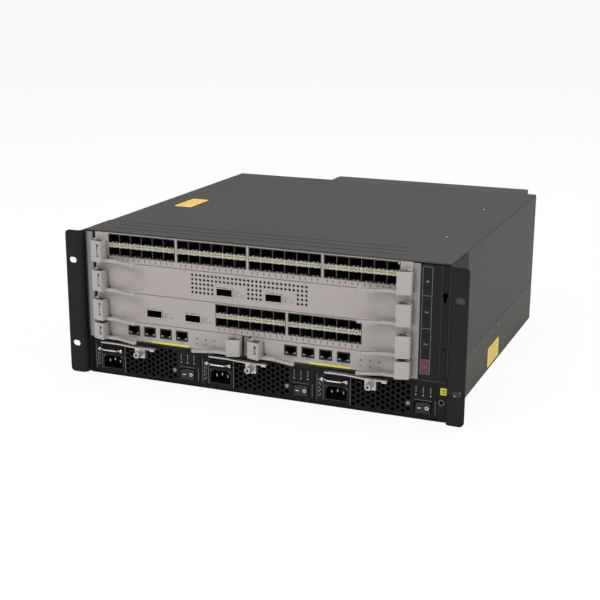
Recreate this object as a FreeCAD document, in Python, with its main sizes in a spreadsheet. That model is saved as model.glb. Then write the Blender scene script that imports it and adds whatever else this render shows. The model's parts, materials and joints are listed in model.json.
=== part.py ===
"""Modular chassis switch, 4U: a folded sheet chassis with rack ears, three full width line
cards, two half width control cards, three power modules and a rear fan tray.

Frame: millimetres, +Z up, +X to the right seen from the front, +Y to the rear.
Origin: middle of the chassis underside.  Every sub-part is a body of this document and
every size of it is an expression on the sheet "Sizes".
"""
import FreeCAD
import Part
import math
import os
import Sketcher

DOC = FreeCAD.newDocument("ChassisSwitch")

# ----------------------------------------------------------------------------------------
# Driving sizes, in millimetres (angles in degrees, counts as plain numbers)
# ----------------------------------------------------------------------------------------
SIZES = {
    # chassis sheet work
    "chassis_wide": 440.0, "chassis_deep": 430.0, "chassis_sheet": 1.5, "fold_radius": 2.5,
    "seam_level": 52.5, "seam_gap": 0.5, "fit_gap": 0.3, "front_gap": 0.5,
    "groove_first": 19.0, "groove_pitch": 17.0, "groove_wide": 1.6, "groove_deep": 0.6,
    "groove_left": 28.0, "groove_right": 58.0,
    "vent_slot_tall": 34.0, "vent_slot_wide": 8.0, "vent_slot_pitch": 22.0,
    "vent_slots": 9.0, "vent_first": 90.0, "vent_low": 72.0, "vent_row_pitch": 44.0,
    "vent_rows": 2.0,
    "exhaust_slot_tall": 26.0, "exhaust_slot_wide": 9.0, "exhaust_slot_pitch": 18.0,
    "exhaust_slots": 5.0, "exhaust_low": 9.0,
    # rack ears
    "ear_span": 482.6, "ear_forward": 9.0, "ear_sheet": 2.0, "ear_side": 60.0,
    "ear_bend": 6.0, "ear_corner": 5.0, "ear_inset": 1.0, "rack_hole_across": 465.1,
    "rack_hole_up": 101.6, "rack_slot_long": 10.0, "rack_slot_tall": 7.0,
    # shelf, bay walls and card cage
    "shelf_level": 44.0, "shelf_sheet": 1.2, "shelf_flange": 15.0, "left_margin": 13.5,
    "right_margin": 41.5, "guide_sheet": 1.2, "guide_stand": 2.5, "guide_grip": 1.6,
    "guide_from": 20.0, "guide_lip": 1.2, "rail_wide": 8.0, "rail_deep": 10.0,
    "rail_round": 2.0, "rail_gap": 3.7, "rail_right_gap": 0.7, "post_gap": 11.6,
    "post_wide": 7.0, "bay_left_margin": 5.6, "bay_right_margin": 10.0,
    "divider_sheet": 1.0,
    # label panel and wrist strap jack
    "panel_fold": 10.0, "keyhole_in": 4.2, "keyhole_level": 140.0, "keyhole_radius": 3.0,
    "keyhole_slot": 3.0, "keyhole_drop": 8.0, "pinhole_in": 3.2, "pinhole_level": 81.4,
    "pinhole_radius": 1.1, "jack_radius": 3.8, "jack_bore": 2.0, "jack_in": 5.6,
    "jack_level": 22.5, "jack_proud": 1.6, "jack_barrel": 3.2, "jack_long": 16.0,
    # cards
    "card_tall": 34.5, "card_gap": 0.45, "control_tall": 22.7, "card_sheet": 1.2,
    "card_flange": 12.0, "card_fold": 0.8, "rear_space": 108.0, "board_level": 5.2,
    "board_thick": 1.6, "board_inset": 1.5, "board_start": 3.0, "plug_long": 18.0,
    "plug_tall": 12.0, "plug_wide": 60.0, "plug_from_side": 45.0, "header_long": 7.6,
    "backplane_thick": 3.2, "sink_wide": 56.0, "sink_long": 60.0, "sink_base": 3.0,
    "sink_tall": 12.0, "sink_fin": 1.4, "sink_fins": 5.0, "sink_from": 120.0,
    "sink_share": 0.3, "neck_margin": 4.0,
    # pluggable module cages
    "port_pitch": 14.25, "port_wall": 0.5, "ports": 6.0, "cage_low": 7.1, "cage_top": 33.0,
    "row_low": 7.9, "row_tall": 9.3, "row_high": 23.2, "cage_deep": 48.0,
    "cage_proud": 0.2, "cage_window": 0.3, "group_first": 18.0, "group_gap": 3.5,
    "groups": 4.0, "short_group_first": 154.3, "short_groups": 2.0, "light_strip": 0.5,
    "wide_port": 19.2, "wide_port_tall": 8.2, "wide_port_low": 8.6, "wide_wall": 0.9,
    "wide_deep": 72.0, "upper_wide_first": 155.7, "upper_wide_pitch": 60.1,
    "lower_wide_first": 65.9, "lower_wide_pitch": 49.7,
    # perforated card face
    "hole_across": 2.7, "hole_first": 125.3, "hole_pitch": 4.975, "hole_low": 9.4,
    "hole_row_pitch": 5.05, "hole_columns": 29.0, "hole_full_rows": 2.0,
    "hole_part_rows": 3.0, "hole_left_columns": 6.0, "hole_between_from": 14.0,
    "hole_between_columns": 4.0, "hole_right_columns": 3.0,
    # control card jacks
    "jack_port": 12.6, "jack_port_tall": 9.2, "jack_port_low": 8.5, "jack_wall": 1.2,
    "jack_deep": 18.0, "jack_first": 41.5, "jack_pitch": 20.9, "jack_key": 4.0,
    "jack_key_tall": 1.6, "jack_ports": 4.0, "jack_floor": 1.4,
    # ejectors
    "pivot_stand": 3.8, "knuckle_radius": 3.3, "pivot_pin": 1.5, "pivot_play": 0.05,
    "block_wide": 15.0, "block_out": 13.5, "block_out_side": 9.0, "block_overhang": 1.0,
    "block_top": 25.0, "control_block_top": 19.8, "arm_low": 0.5, "arm_thick": 3.2,
    "arm_reach": 55.0, "arm_straight": 28.0, "arm_wide": 6.4, "arm_lift": 8.5,
    "arm_tip_bevel": 2.2, "arm_set_in": 0.8, "lug_thick": 1.6, "window_wide": 3.0, "window_in": 7.2,
    "window_deep": 3.5, "window_margin": 3.0,
    # power modules
    "power_face": 1.5, "power_gap": 0.6, "power_inset": 1.5,
    "power_wall": 1.0, "power_plug_wide": 46.0, "power_plug_tall": 14.0,
    "inlet_left": 12.0, "inlet_wide": 27.5, "inlet_low": 5.4, "inlet_tall": 17.6,
    "inlet_wall": 1.0, "inlet_bevel": 4.0, "inlet_deep": 22.0, "inlet_floor": 4.0,
    "inlet_proud": 0.6, "blade_wide": 2.0, "blade_tall": 4.0, "blade_long": 14.0,
    "blade_pitch": 7.0, "grille_left": 49.5, "grille_columns": 7.0, "grille_pitch": 9.8,
    "grille_low": 7.2, "grille_row_pitch": 11.3, "grille_rows": 3.0, "grille_across": 9.0,
    "rocker_right": 6.86667, "rocker_wide": 19.0, "rocker_low": 5.2, "rocker_tall": 13.0,
    "rocker_play": 0.3, "rocker_side_play": 1.3, "rocker_tilt": 8.0, "rocker_stand": 2.5,
    "rocker_dip": 1.4, "rocker_pivot": 4.0, "rocker_hub": 4.0,
    "lever_pivot": 16.0, "lever_stand": 4.4, "lever_low": 38.4, "lever_sheet": 1.6,
    "lever_reach": 71.0, "lever_wide": 6.0, "lever_out": 7.2, "lever_neck": 22.0,
    "tip_long": 6.0, "tip_drop": 1.4, "tab_middle": 52.5, "tab_wide": 13.0,
    "tab_drop": 10.6, "screw_head": 4.0, "screw_head_long": 9.0,
    "screw_shank": 1.5, "screw_drawn": 6.2, "screw_level": 33.4,
    "bail_left": 11.6, "bail_wide": 25.6, "bail_level": 29.6, "bail_wire": 0.9,
    "bail_stand": 3.4, "bail_reach": 3.4, "bail_shoulder": 3.6, "ear_ferrule": 2.0,
    "ferrule_long": 3.0,
    # fan tray
    "tray_right_margin": 18.0, "tray_wide": 278.0, "tray_proud": 35.0, "tray_inside": 60.0,
    "tray_sheet": 1.2, "tray_lip": 2.0, "tray_top_drop": 0.3, "fan_size": 119.0,
    "fan_thick": 38.0, "fan_bore": 56.5, "fan_pitch": 125.0, "strut_wide": 6.0,
    "strut_thick": 4.0, "motor_radius": 21.0, "motor_thick": 5.0, "shaft_radius": 2.0,
    "shaft_play": 0.05, "hub_radius": 20.0, "hub_long": 24.0, "hub_sides": 14.0, "blade_tip_play": 1.5,
    "blades": 7.0, "blade_thick": 1.6, "blade_turn": 36.0,
    "blade_chord": 26.0, "blade_root_share": 0.8, "louvre_tall": 6.0, "louvre_pitch": 12.0,
    "tray_screw_in": 7.0, "tray_screw_radius": 4.5, "tray_screw_head": 7.0,
    "tray_screw_shank": 1.7,
}


class Size:
    """A size that carries both its number and the sheet expression it comes from."""

    def __init__(self, number, formula):
        self.number = float(number)
        self.formula = formula

    @classmethod
    def of(cls, thing):
        if isinstance(thing, Size):
            return thing
        return cls(thing, "(%.6g)" % thing)

    @staticmethod
    def join(left, sign, right, number):
        return Size(number, "(%s %s %s)" % (left.formula, sign, right.formula))

    def __add__(self, other):
        other = Size.of(other)
        return Size.join(self, "+", other, self.number + other.number)

    def __radd__(self, other):
        return Size.of(other) + self

    def __sub__(self, other):
        other = Size.of(other)
        return Size.join(self, "-", other, self.number - other.number)

    def __rsub__(self, other):
        return Size.of(other) - self

    def __mul__(self, other):
        other = Size.of(other)
        return Size.join(self, "*", other, self.number * other.number)

    def __rmul__(self, other):
        return Size.of(other) * self

    def __truediv__(self, other):
        other = Size.of(other)
        return Size.join(self, "/", other, self.number / other.number)

    def __neg__(self):
        return Size.of(0) - self


class Sheet:
    """The spreadsheet of driving sizes; an attribute of it is the Size of that alias."""

    def __init__(self, sizes):
        self.cells = DOC.addObject("Spreadsheet::Sheet", "Sizes")
        for row, (name, value) in enumerate(sizes.items(), start=1):
            self.cells.set("A%d" % row, name)
            self.cells.set("B%d" % row, "%.6g" % value)
            self.cells.setAlias("B%d" % row, name)
        DOC.recompute()
        for name in sizes:
            setattr(self, name, Size(self.cells.get(name), "Sizes." + name))


S = Sheet(SIZES)

# ----------------------------------------------------------------------------------------
# Sketching and feature helpers
# ----------------------------------------------------------------------------------------
TOP, FRONT, SIDE = "XY_Plane", "XZ_Plane", "YZ_Plane"
SAME_PLACE = 0.05


class Outline:
    """A sketch on a base plane of its own body; each drawn shape is tied to the sheet."""

    def __init__(self, body, view, level):
        plane = next(f for f in body.Origin.OriginFeatures if f.Role == view)
        self.sketch = body.newObject("Sketcher::SketchObject", "Outline")
        self.sketch.AttachmentSupport = [(plane, "")]
        self.sketch.MapMode = "FlatFace"
        self.sketch.setExpression("AttachmentOffset.Base.z", Size.of(level).formula)
        self.rules = []
        self.ties = []

    def tie(self, kind, geometry, point, size):
        size = Size.of(size)
        if point is None:
            rule = Sketcher.Constraint(kind, geometry, size.number)
        else:
            rule = Sketcher.Constraint(kind, geometry, point, size.number)
        self.ties.append((len(self.rules), size.formula))
        self.rules.append(rule)

    def loop(self, points):
        """Draw a closed outline of straight lines through the points."""
        spots = [FreeCAD.Vector(Size.of(x).number, Size.of(y).number, 0) for x, y in points]
        ends = spots[1:] + spots[:1]
        lines = [Part.LineSegment(a, b) for a, b in zip(spots, ends)]
        first = self.sketch.addGeometry(lines, False)[0]
        last = first + len(points) - 1
        for here in range(first, last + 1):
            after = here + 1 if here < last else first
            self.rules.append(Sketcher.Constraint("Coincident", here, 2, after, 1))
        for step, (x, y) in enumerate(points):
            self.tie("DistanceX", first + step, 1, x)
            self.tie("DistanceY", first + step, 1, y)

    def disc(self, x, y, radius):
        middle = FreeCAD.Vector(Size.of(x).number, Size.of(y).number, 0)
        round_edge = Part.Circle(middle, FreeCAD.Vector(0, 0, 1), Size.of(radius).number)
        here = self.sketch.addGeometry(round_edge, False)
        self.tie("DistanceX", here, 3, x)
        self.tie("DistanceY", here, 3, y)
        self.tie("Radius", here, None, radius)

    def finish(self):
        self.sketch.addConstraint(self.rules)
        for number, formula in self.ties:
            self.sketch.setExpression("Constraints[%d]" % number, formula)
        return self.sketch


def rect(left, right, low, high):
    """A rectangle between two upright and two level lines of the view."""
    return lambda o: o.loop([(left, low), (right, low), (right, high), (left, high)])


def loop(points):
    return lambda o: o.loop(points)


def disc(x, y, radius):
    return lambda o: o.disc(x, y, radius)


def diamond(x, y, across):
    """A square set on its corner, the given distance between opposite sides."""
    point = across / math.sqrt(2)
    return lambda o: o.loop([(x, y - point), (x + point, y), (x, y + point),
                             (x - point, y)])


def hexagon(x, y, across):
    """A hexagon with two upright sides, the given distance apart."""
    half = across / 2
    point = across / math.sqrt(3)
    corners = [(x + half, y - point / 2), (x + half, y + point / 2), (x, y + point),
               (x - half, y + point / 2), (x - half, y - point / 2), (x, y - point)]
    return lambda o: o.loop(corners)


class Piece:
    """One sub-part: a body, placed by the sheet, with pads and pockets over real spans."""

    made = []

    def __init__(self, label, at=(0, 0, 0)):
        self.body = DOC.addObject("PartDesign::Body", label)
        self.body.Label = label
        self.steps = []
        for axis, place in zip("xyz", at):
            self.body.setExpression("Placement.Base." + axis, Size.of(place).formula)
        Piece.made.append(self)

    def span(self, view, low, high):
        """Levels along the plane's own normal, which points to the front in that view."""
        low, high = Size.of(low), Size.of(high)
        return (-high, -low) if view == FRONT else (low, high)

    def pad(self, view, low, high, *shapes):
        """Add the shapes as solid between two real levels of the view's axis."""
        low, high = self.span(view, low, high)
        feature = self.extrude("PartDesign::Pad", view, low, low, high, shapes)
        self.steps.append((feature, "more"))
        return feature

    def cut(self, view, low, high, *shapes):
        """Take the shapes away between two real levels of the view's axis."""
        low, high = self.span(view, low, high)
        feature = self.extrude("PartDesign::Pocket", view, high, low, high, shapes)
        self.steps.append((feature, "less"))
        return feature

    def extrude(self, kind, view, level, low, high, shapes):
        outline = Outline(self.body, view, level)
        for shape in shapes:
            shape(outline)
        sketch = outline.finish()
        feature = self.body.newObject(kind, kind.split("::")[1])
        feature.Profile = sketch
        feature.Refine = kind == "PartDesign::Pad"
        feature.setExpression("Length", (high - low).formula)
        return feature

    def repeat(self, feature, count, pitch, axis="H_Axis"):
        """Repeat a pad or pocket along an axis of its own sketch."""
        pattern = self.body.newObject("PartDesign::LinearPattern", "Repeat")
        pattern.Originals = [feature]
        pattern.Refine = False
        pattern.Direction = (feature.Profile[0], [axis])
        pattern.setExpression("Occurrences", Size.of(count).formula)
        pattern.setExpression("Length", ((Size.of(count) - 1) * pitch).formula)
        self.body.Tip = pattern
        return pattern

    def round(self, radius, chosen, name="Fillet"):
        """Round (or bevel) the edges of the last feature that the test chooses."""
        DOC.recompute()
        last = self.body.Tip
        edges = ["Edge%d" % (n + 1) for n, e in enumerate(last.Shape.Edges) if chosen(e)]
        feature = self.body.newObject("PartDesign::" + name, name)
        feature.Base = (last, edges)
        prop = "Radius" if name == "Fillet" else "Size"
        feature.setExpression(prop, Size.of(radius).formula)
        return feature


def along(axis, **places):
    """A test for straight edges along an axis whose middle lies at the given places.

    The places are in the body's own frame, as its sketches are.
    """
    def chosen(edge):
        if len(edge.Vertexes) != 2:
            return False
        run = edge.Vertexes[1].Point - edge.Vertexes[0].Point
        if abs(getattr(run, axis)) < 0.999 * run.Length or edge.Length > run.Length + 1e-6:
            return False
        middle = edge.CenterOfMass
        for name, wanted in places.items():
            spots = wanted if isinstance(wanted, (list, tuple)) else [wanted]
            near = [abs(getattr(middle, name) - Size.of(s).number) for s in spots]
            if min(near) > SAME_PLACE:
                return False
        return True
    return chosen


def cut_oblong(piece, view, low, high, middle, level, long, tall):
    """Cut a round ended slot: its straight middle first, then its two ends."""
    half = long / 2 - tall / 2
    piece.cut(view, low, high, rect(middle - half, middle + half, level - tall / 2,
                                    level + tall / 2))
    for end in (middle - half, middle + half):
        piece.cut(view, low, high, disc(end, level, tall / 2))


# ----------------------------------------------------------------------------------------
# Places that several sub-parts share
# ----------------------------------------------------------------------------------------
HALF = S.chassis_wide / 2
FACE = -S.chassis_deep / 2
BACK = S.chassis_deep / 2
CARD_LEFT = -HALF + S.left_margin
CARD_RIGHT = HALF - S.right_margin
CARD_WIDE = CARD_RIGHT - CARD_LEFT
CONTROL_WIDE = (CARD_WIDE - S.post_gap) / 2
GROUP_WIDE = S.ports * S.port_pitch
SHELF_TOP = S.shelf_level + S.shelf_sheet
CONTROL_LEVEL = SHELF_TOP + S.card_gap
LINE_CARDS = 3


def card_level(slot):
    """Underside of a line card's face; slot 0 is the lowest."""
    first = CONTROL_LEVEL + S.control_tall + S.card_gap
    return first + slot * (S.card_tall + S.card_gap)


STACK_TOP = card_level(LINE_CARDS - 1) + S.card_tall
ROOF_UNDER = STACK_TOP + S.fit_gap
ROOF = ROOF_UNDER + S.chassis_sheet
TRIM_HIGH = ROOF_UNDER - S.fold_radius / 2
SEAM_LOW = S.seam_level - S.seam_gap / 2
SEAM_HIGH = S.seam_level + S.seam_gap / 2
WALL_LEFT = CARD_LEFT - S.guide_stand - S.guide_sheet
WALL_RIGHT = CARD_RIGHT + S.guide_stand
BACKPLANE = FACE + S.chassis_deep - S.rear_space + S.fit_gap + S.header_long
CARD_DEEP = S.chassis_deep - S.rear_space
BAY_LEFT = -HALF + S.bay_left_margin
BAY_RIGHT = HALF - S.bay_right_margin
POWER_BAYS = 3
BAY_PITCH = (BAY_RIGHT - BAY_LEFT) / POWER_BAYS
POWER_WIDE = BAY_PITCH - S.power_gap
ROCKER_LEFT = POWER_WIDE - S.rocker_right - S.rocker_wide
POWER_LEVEL = S.chassis_sheet + S.fit_gap
POWER_TALL = S.shelf_level - POWER_LEVEL - S.fit_gap
POWER_DEEP = CARD_DEEP - S.plug_long - S.front_gap
NECK_LEFT = BAY_LEFT + BAY_PITCH / 2 - S.power_plug_wide / 2 - S.neck_margin
NECK_RIGHT = BAY_RIGHT - BAY_PITCH / 2 + S.power_plug_wide / 2 + S.neck_margin
TRAY_RIGHT = HALF - S.tray_right_margin
TRAY_LEFT = TRAY_RIGHT - S.tray_wide
TRAY_MIDDLE = (TRAY_LEFT + TRAY_RIGHT) / 2
TRAY_LOW = SHELF_TOP + S.fit_gap
TRAY_HIGH = ROOF_UNDER - S.fit_gap
FAN_LEVEL = (TRAY_LOW + TRAY_HIGH) / 2


# ----------------------------------------------------------------------------------------
# Chassis
# ----------------------------------------------------------------------------------------
def lower_tub():
    """Floor and lower sides folded as one U, with the rear wall and the jack flange."""
    tub = Piece("lower_tub")
    inner = HALF - S.chassis_sheet
    tub.pad(FRONT, FACE, BACK, loop([
        (-HALF, 0), (HALF, 0), (HALF, SEAM_LOW), (inner, SEAM_LOW),
        (inner, S.chassis_sheet), (-inner, S.chassis_sheet), (-inner, SEAM_LOW),
        (-HALF, SEAM_LOW)]))
    tub.round(S.fold_radius, along("y", x=[-HALF, HALF], z=0))
    tub.round(S.fold_radius - S.chassis_sheet,
              along("y", x=[-inner, inner], z=S.chassis_sheet))
    wall_low = S.chassis_sheet / 2
    wall_side = inner + S.chassis_sheet / 2
    tub.pad(FRONT, BACK - S.chassis_sheet, BACK,
            rect(-inner - S.chassis_sheet / 2, wall_side, wall_low, SEAM_LOW))
    tub.pad(FRONT, BACK - S.chassis_sheet, BACK,
            rect(-inner + S.fit_gap, inner - S.fit_gap, wall_low, TRIM_HIGH))
    tub.cut(FRONT, BACK - 2 * S.chassis_sheet, BACK + S.chassis_sheet,
            rect(TRAY_LEFT + S.tray_lip - S.fit_gap, TRAY_RIGHT - S.tray_lip + S.fit_gap,
                 SHELF_TOP, ROOF))
    for bay in range(3):
        first = (BAY_LEFT + (bay + 0.5) * BAY_PITCH
                 - (S.exhaust_slots - 1) / 2 * S.exhaust_slot_pitch)
        slot = tub.cut(FRONT, BACK - 2 * S.chassis_sheet, BACK + S.chassis_sheet,
                       rect(first - S.exhaust_slot_wide / 2, first + S.exhaust_slot_wide / 2,
                            S.exhaust_low, S.exhaust_low + S.exhaust_slot_tall))
        tub.repeat(slot, S.exhaust_slots, S.exhaust_slot_pitch)
    tub.pad(FRONT, FACE, FACE + S.chassis_sheet,
            rect(BAY_RIGHT, wall_side, wall_low, S.shelf_level - S.fit_gap))
    tub.cut(FRONT, FACE - S.chassis_sheet, FACE + 2 * S.chassis_sheet,
            hexagon(HALF - S.jack_in, S.jack_level, 2 * S.jack_barrel))


def upper_shell():
    """Top and upper sides folded as one cover, with three pressed grooves and side vents."""
    shell = Piece("upper_shell")
    inner = HALF - S.chassis_sheet
    shell.pad(FRONT, FACE, BACK, loop([
        (-HALF, SEAM_HIGH), (-inner, SEAM_HIGH), (-inner, ROOF_UNDER), (inner, ROOF_UNDER),
        (inner, SEAM_HIGH), (HALF, SEAM_HIGH), (HALF, ROOF), (-HALF, ROOF)]))
    shell.round(S.fold_radius, along("y", x=[-HALF, HALF], z=ROOF))
    shell.round(S.fold_radius - S.chassis_sheet,
                along("y", x=[-inner, inner], z=ROOF_UNDER))
    grooves = []
    for line in range(3):
        middle = FACE + S.groove_first + line * S.groove_pitch
        grooves.append(rect(-HALF + S.groove_left, HALF - S.groove_right,
                            middle - S.groove_wide / 2, middle + S.groove_wide / 2))
    shell.cut(TOP, ROOF - S.groove_deep, ROOF + S.groove_deep, *grooves)
    first = FACE + S.vent_first
    rows = [rect(first, first + S.vent_slot_wide, S.vent_low + row * S.vent_row_pitch,
                 S.vent_low + row * S.vent_row_pitch + S.vent_slot_tall)
            for row in range(int(S.vent_rows.number))]
    vents = shell.cut(SIDE, -HALF - S.chassis_sheet, -inner + S.chassis_sheet, *rows)
    shell.repeat(vents, S.vent_slots, S.vent_slot_pitch)


def mid_shelf():
    """Shelf over the power modules, with turned up sides and the backplane's slot."""
    shelf = Piece("mid_shelf")
    side = HALF - S.chassis_sheet - S.fit_gap
    flange_from = FACE + S.rail_deep + S.front_gap + S.fit_gap
    back = BACK - S.chassis_sheet - S.fit_gap
    shelf.pad(FRONT, FACE + S.front_gap, back, rect(-side, side, S.shelf_level, SHELF_TOP))
    for hand in (-1, 1):
        inner = side - S.shelf_sheet
        ends = (-side, -inner) if hand < 0 else (inner, side)
        shelf.pad(FRONT, flange_from, back,
                  rect(ends[0], ends[1], S.shelf_level, S.shelf_level + S.shelf_flange))
    shelf.cut(TOP, S.shelf_level - S.shelf_sheet, SHELF_TOP + S.shelf_sheet,
              rect(NECK_LEFT - S.fit_gap, NECK_RIGHT + S.fit_gap,
                   BACKPLANE - S.fit_gap, BACKPLANE + S.backplane_thick + S.fit_gap))


def bay_dividers():
    """Two upright walls between the three power bays."""
    walls = Piece("bay_dividers")
    shapes = []
    for wall in range(1, POWER_BAYS):
        middle = BAY_LEFT + wall * BAY_PITCH
        shapes.append(rect(middle - S.divider_sheet / 2, middle + S.divider_sheet / 2,
                           POWER_LEVEL, S.shelf_level - S.fit_gap))
    walls.pad(FRONT, FACE + S.guide_from, FACE + POWER_DEEP, *shapes)


def guide_lips(level, edge, hand):
    """The two lips of a guide that hold a board's edge, from a wall at the given edge."""
    lips = []
    low = level + S.board_level
    reach = S.guide_stand + S.guide_grip + S.board_inset
    ends = (edge, edge + reach) if hand > 0 else (edge - reach, edge)
    for lip_low in (low - S.fit_gap - S.guide_lip, low + S.board_thick + S.fit_gap):
        lips.append(rect(ends[0], ends[1], lip_low, lip_low + S.guide_lip))
    return lips


def card_guides():
    """The card cage's two side walls, each with a pair of lips for every card it holds."""
    guides = Piece("card_guides")
    low, high = SHELF_TOP + S.fit_gap, ROOF_UNDER - S.fit_gap
    front = FACE + S.rail_deep + S.front_gap + S.fit_gap
    back = BACKPLANE - S.fit_gap
    guides.pad(FRONT, front, back,
               rect(WALL_LEFT, WALL_LEFT + S.guide_sheet, low, high),
               rect(WALL_RIGHT, WALL_RIGHT + S.guide_sheet, low, high))
    levels = [CONTROL_LEVEL] + [card_level(slot) for slot in range(LINE_CARDS)]
    lips = []
    for level in levels:
        lips += guide_lips(level, WALL_LEFT + S.guide_sheet, 1)
        lips += guide_lips(level, WALL_RIGHT, -1)
    guides.pad(FRONT, FACE + S.guide_from, back - S.header_long, *lips)


def control_post():
    """The wall between the two control cards, with its front post and guide lips."""
    post = Piece("control_post")
    middle = (CARD_LEFT + CARD_RIGHT) / 2
    low = SHELF_TOP + S.fit_gap
    high = card_level(0) - S.card_gap
    sheet = S.guide_sheet / 2
    post.pad(FRONT, FACE + S.rail_deep, BACKPLANE - S.fit_gap,
             rect(middle - sheet, middle + sheet, low, high))
    post.pad(FRONT, FACE + S.front_gap, FACE + S.rail_deep,
             rect(middle - S.post_wide / 2, middle + S.post_wide / 2, low, high))
    lips = []
    reach = S.post_gap / 2 - sheet + S.guide_grip + S.board_inset
    for lip_low in (-S.fit_gap - S.guide_lip, S.board_thick + S.fit_gap):
        lip_low = CONTROL_LEVEL + S.board_level + lip_low
        lips.append(rect(middle - sheet - reach, middle - sheet, lip_low,
                         lip_low + S.guide_lip))
        lips.append(rect(middle + sheet, middle + sheet + reach, lip_low,
                         lip_low + S.guide_lip))
    post.pad(FRONT, FACE + S.guide_from, BACKPLANE - S.fit_gap - S.header_long, *lips)


def header_shapes(level, left, wide):
    """Where a card's two rear plugs (or a half card's one) meet the backplane."""
    low = level + S.board_level + S.board_thick
    spots = [left + S.plug_from_side, left + wide - S.plug_from_side - S.plug_wide]
    return [rect(spot, spot + S.plug_wide, low, low + S.plug_tall) for spot in spots]


def control_lefts():
    """Left edges of the two control cards."""
    return [CARD_LEFT, CARD_RIGHT - CONTROL_WIDE]


def backplane():
    """The upright circuit board that every card and power module plugs into."""
    board = Piece("backplane")
    left = WALL_LEFT + S.fit_gap
    right = WALL_RIGHT + S.guide_sheet - S.fit_gap
    low = S.chassis_sheet + S.fit_gap
    shoulder = SHELF_TOP + S.fit_gap
    top = ROOF_UNDER - S.fit_gap
    board.pad(FRONT, BACKPLANE, BACKPLANE + S.backplane_thick, loop([
        (NECK_LEFT, low), (NECK_RIGHT, low), (NECK_RIGHT, shoulder), (right, shoulder),
        (right, top), (left, top), (left, shoulder), (NECK_LEFT, shoulder)]))
    headers = []
    for slot in range(LINE_CARDS):
        headers += header_shapes(card_level(slot), CARD_LEFT, CARD_WIDE)
    for left_edge in control_lefts():
        headers.append(control_plug(left_edge, CONTROL_LEVEL))
    for bay in range(POWER_BAYS):
        headers.append(power_plug(BAY_LEFT + (bay + 0.5) * BAY_PITCH, POWER_LEVEL))
    board.pad(FRONT, BACKPLANE - S.header_long, BACKPLANE, *headers)


def control_plug(left, level):
    """A control card's single rear plug, in the middle of its board."""
    low = level + S.board_level + S.board_thick
    middle = left + CONTROL_WIDE / 2
    return rect(middle - S.plug_wide / 2, middle + S.plug_wide / 2, low, low + S.plug_tall)


def power_plug(middle, level):
    """A power module's rear plug, in the middle of its case."""
    low = level + (POWER_TALL - S.power_plug_tall) / 2
    return rect(middle - S.power_plug_wide / 2, middle + S.power_plug_wide / 2,
                low, low + S.power_plug_tall)


def rack_ear(label, hand):
    """An angle bracket: slotted flange ahead of the front, round fold, side on the wall."""
    ear = Piece(label)
    tip = hand * S.ear_span / 2
    wall = hand * (HALF + S.fit_gap)
    outer = hand * (HALF + S.fit_gap + S.ear_sheet)
    front = FACE - S.ear_forward
    ear.pad(TOP, S.ear_inset, ROOF - S.ear_inset, loop([
        (wall, front), (tip, front), (tip, front + S.ear_sheet),
        (outer, front + S.ear_sheet), (outer, FACE + S.ear_side), (wall, FACE + S.ear_side)]))
    ear.round(S.ear_bend, along("z", x=wall, y=front))
    ear.round(S.ear_bend - S.ear_sheet, along("z", x=outer, y=front + S.ear_sheet))
    ear.round(S.ear_corner, along("y", x=tip, z=[S.ear_inset, ROOF - S.ear_inset]))
    for up in (-1, 1):
        cut_oblong(ear, FRONT, front - S.ear_sheet, front + 2 * S.ear_sheet,
                   hand * S.rack_hole_across / 2, ROOF / 2 + up * S.rack_hole_up / 2,
                   S.rack_slot_long, S.rack_slot_tall)


def slot_rails():
    """The two bright upright rails beside the card faces, with rounded front edges."""
    rails = Piece("slot_rails")
    low, high = SHELF_TOP + S.fit_gap, TRIM_HIGH
    left = CARD_LEFT - S.rail_gap - S.rail_wide
    right = CARD_RIGHT + S.rail_right_gap
    rails.pad(TOP, low, high,
              rect(left, left + S.rail_wide, FACE, FACE + S.rail_deep),
              rect(right, right + S.rail_wide, FACE, FACE + S.rail_deep))
    rails.round(S.rail_round, along("z", x=[left + S.rail_wide, right + S.rail_wide],
                                    y=FACE))


def label_panel():
    """The dark filler beside the cards, folded back at its inner edge, with a keyhole."""
    panel = Piece("label_panel")
    left = CARD_RIGHT + S.rail_right_gap + S.rail_wide + S.fit_gap
    right = HALF - S.chassis_sheet - S.fit_gap
    low, high = SHELF_TOP + S.fit_gap, TRIM_HIGH
    panel.pad(TOP, low, high, loop([
        (left, FACE), (right, FACE), (right, FACE + S.chassis_sheet),
        (left + S.chassis_sheet, FACE + S.chassis_sheet),
        (left + S.chassis_sheet, FACE + S.panel_fold), (left, FACE + S.panel_fold)]))
    through = (FACE - S.chassis_sheet, FACE + 2 * S.chassis_sheet)
    keyhole = right - S.keyhole_in
    panel.cut(FRONT, *through, disc(keyhole, S.keyhole_level, S.keyhole_radius))
    panel.cut(FRONT, *through,
              rect(keyhole - S.keyhole_slot / 2, keyhole + S.keyhole_slot / 2,
                   S.keyhole_level - S.keyhole_drop, S.keyhole_level))
    panel.cut(FRONT, *through,
              hexagon(right - S.pinhole_in, S.pinhole_level, 2 * S.pinhole_radius))


def wrist_strap_jack():
    """The 4 mm socket for a wrist strap: a ring on the flange and a barrel behind it."""
    jack = Piece("wrist_strap_jack", at=(HALF - S.jack_in, FACE, S.jack_level))
    barrel = 2 * (S.jack_barrel - S.pivot_play)
    jack.pad(FRONT, -S.jack_proud, 0, disc(0, 0, S.jack_radius))
    jack.pad(FRONT, 0, S.jack_long, hexagon(0, 0, barrel))
    jack.cut(FRONT, -2 * S.jack_proud, S.jack_long - S.jack_proud, disc(0, 0, S.jack_bore))


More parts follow.
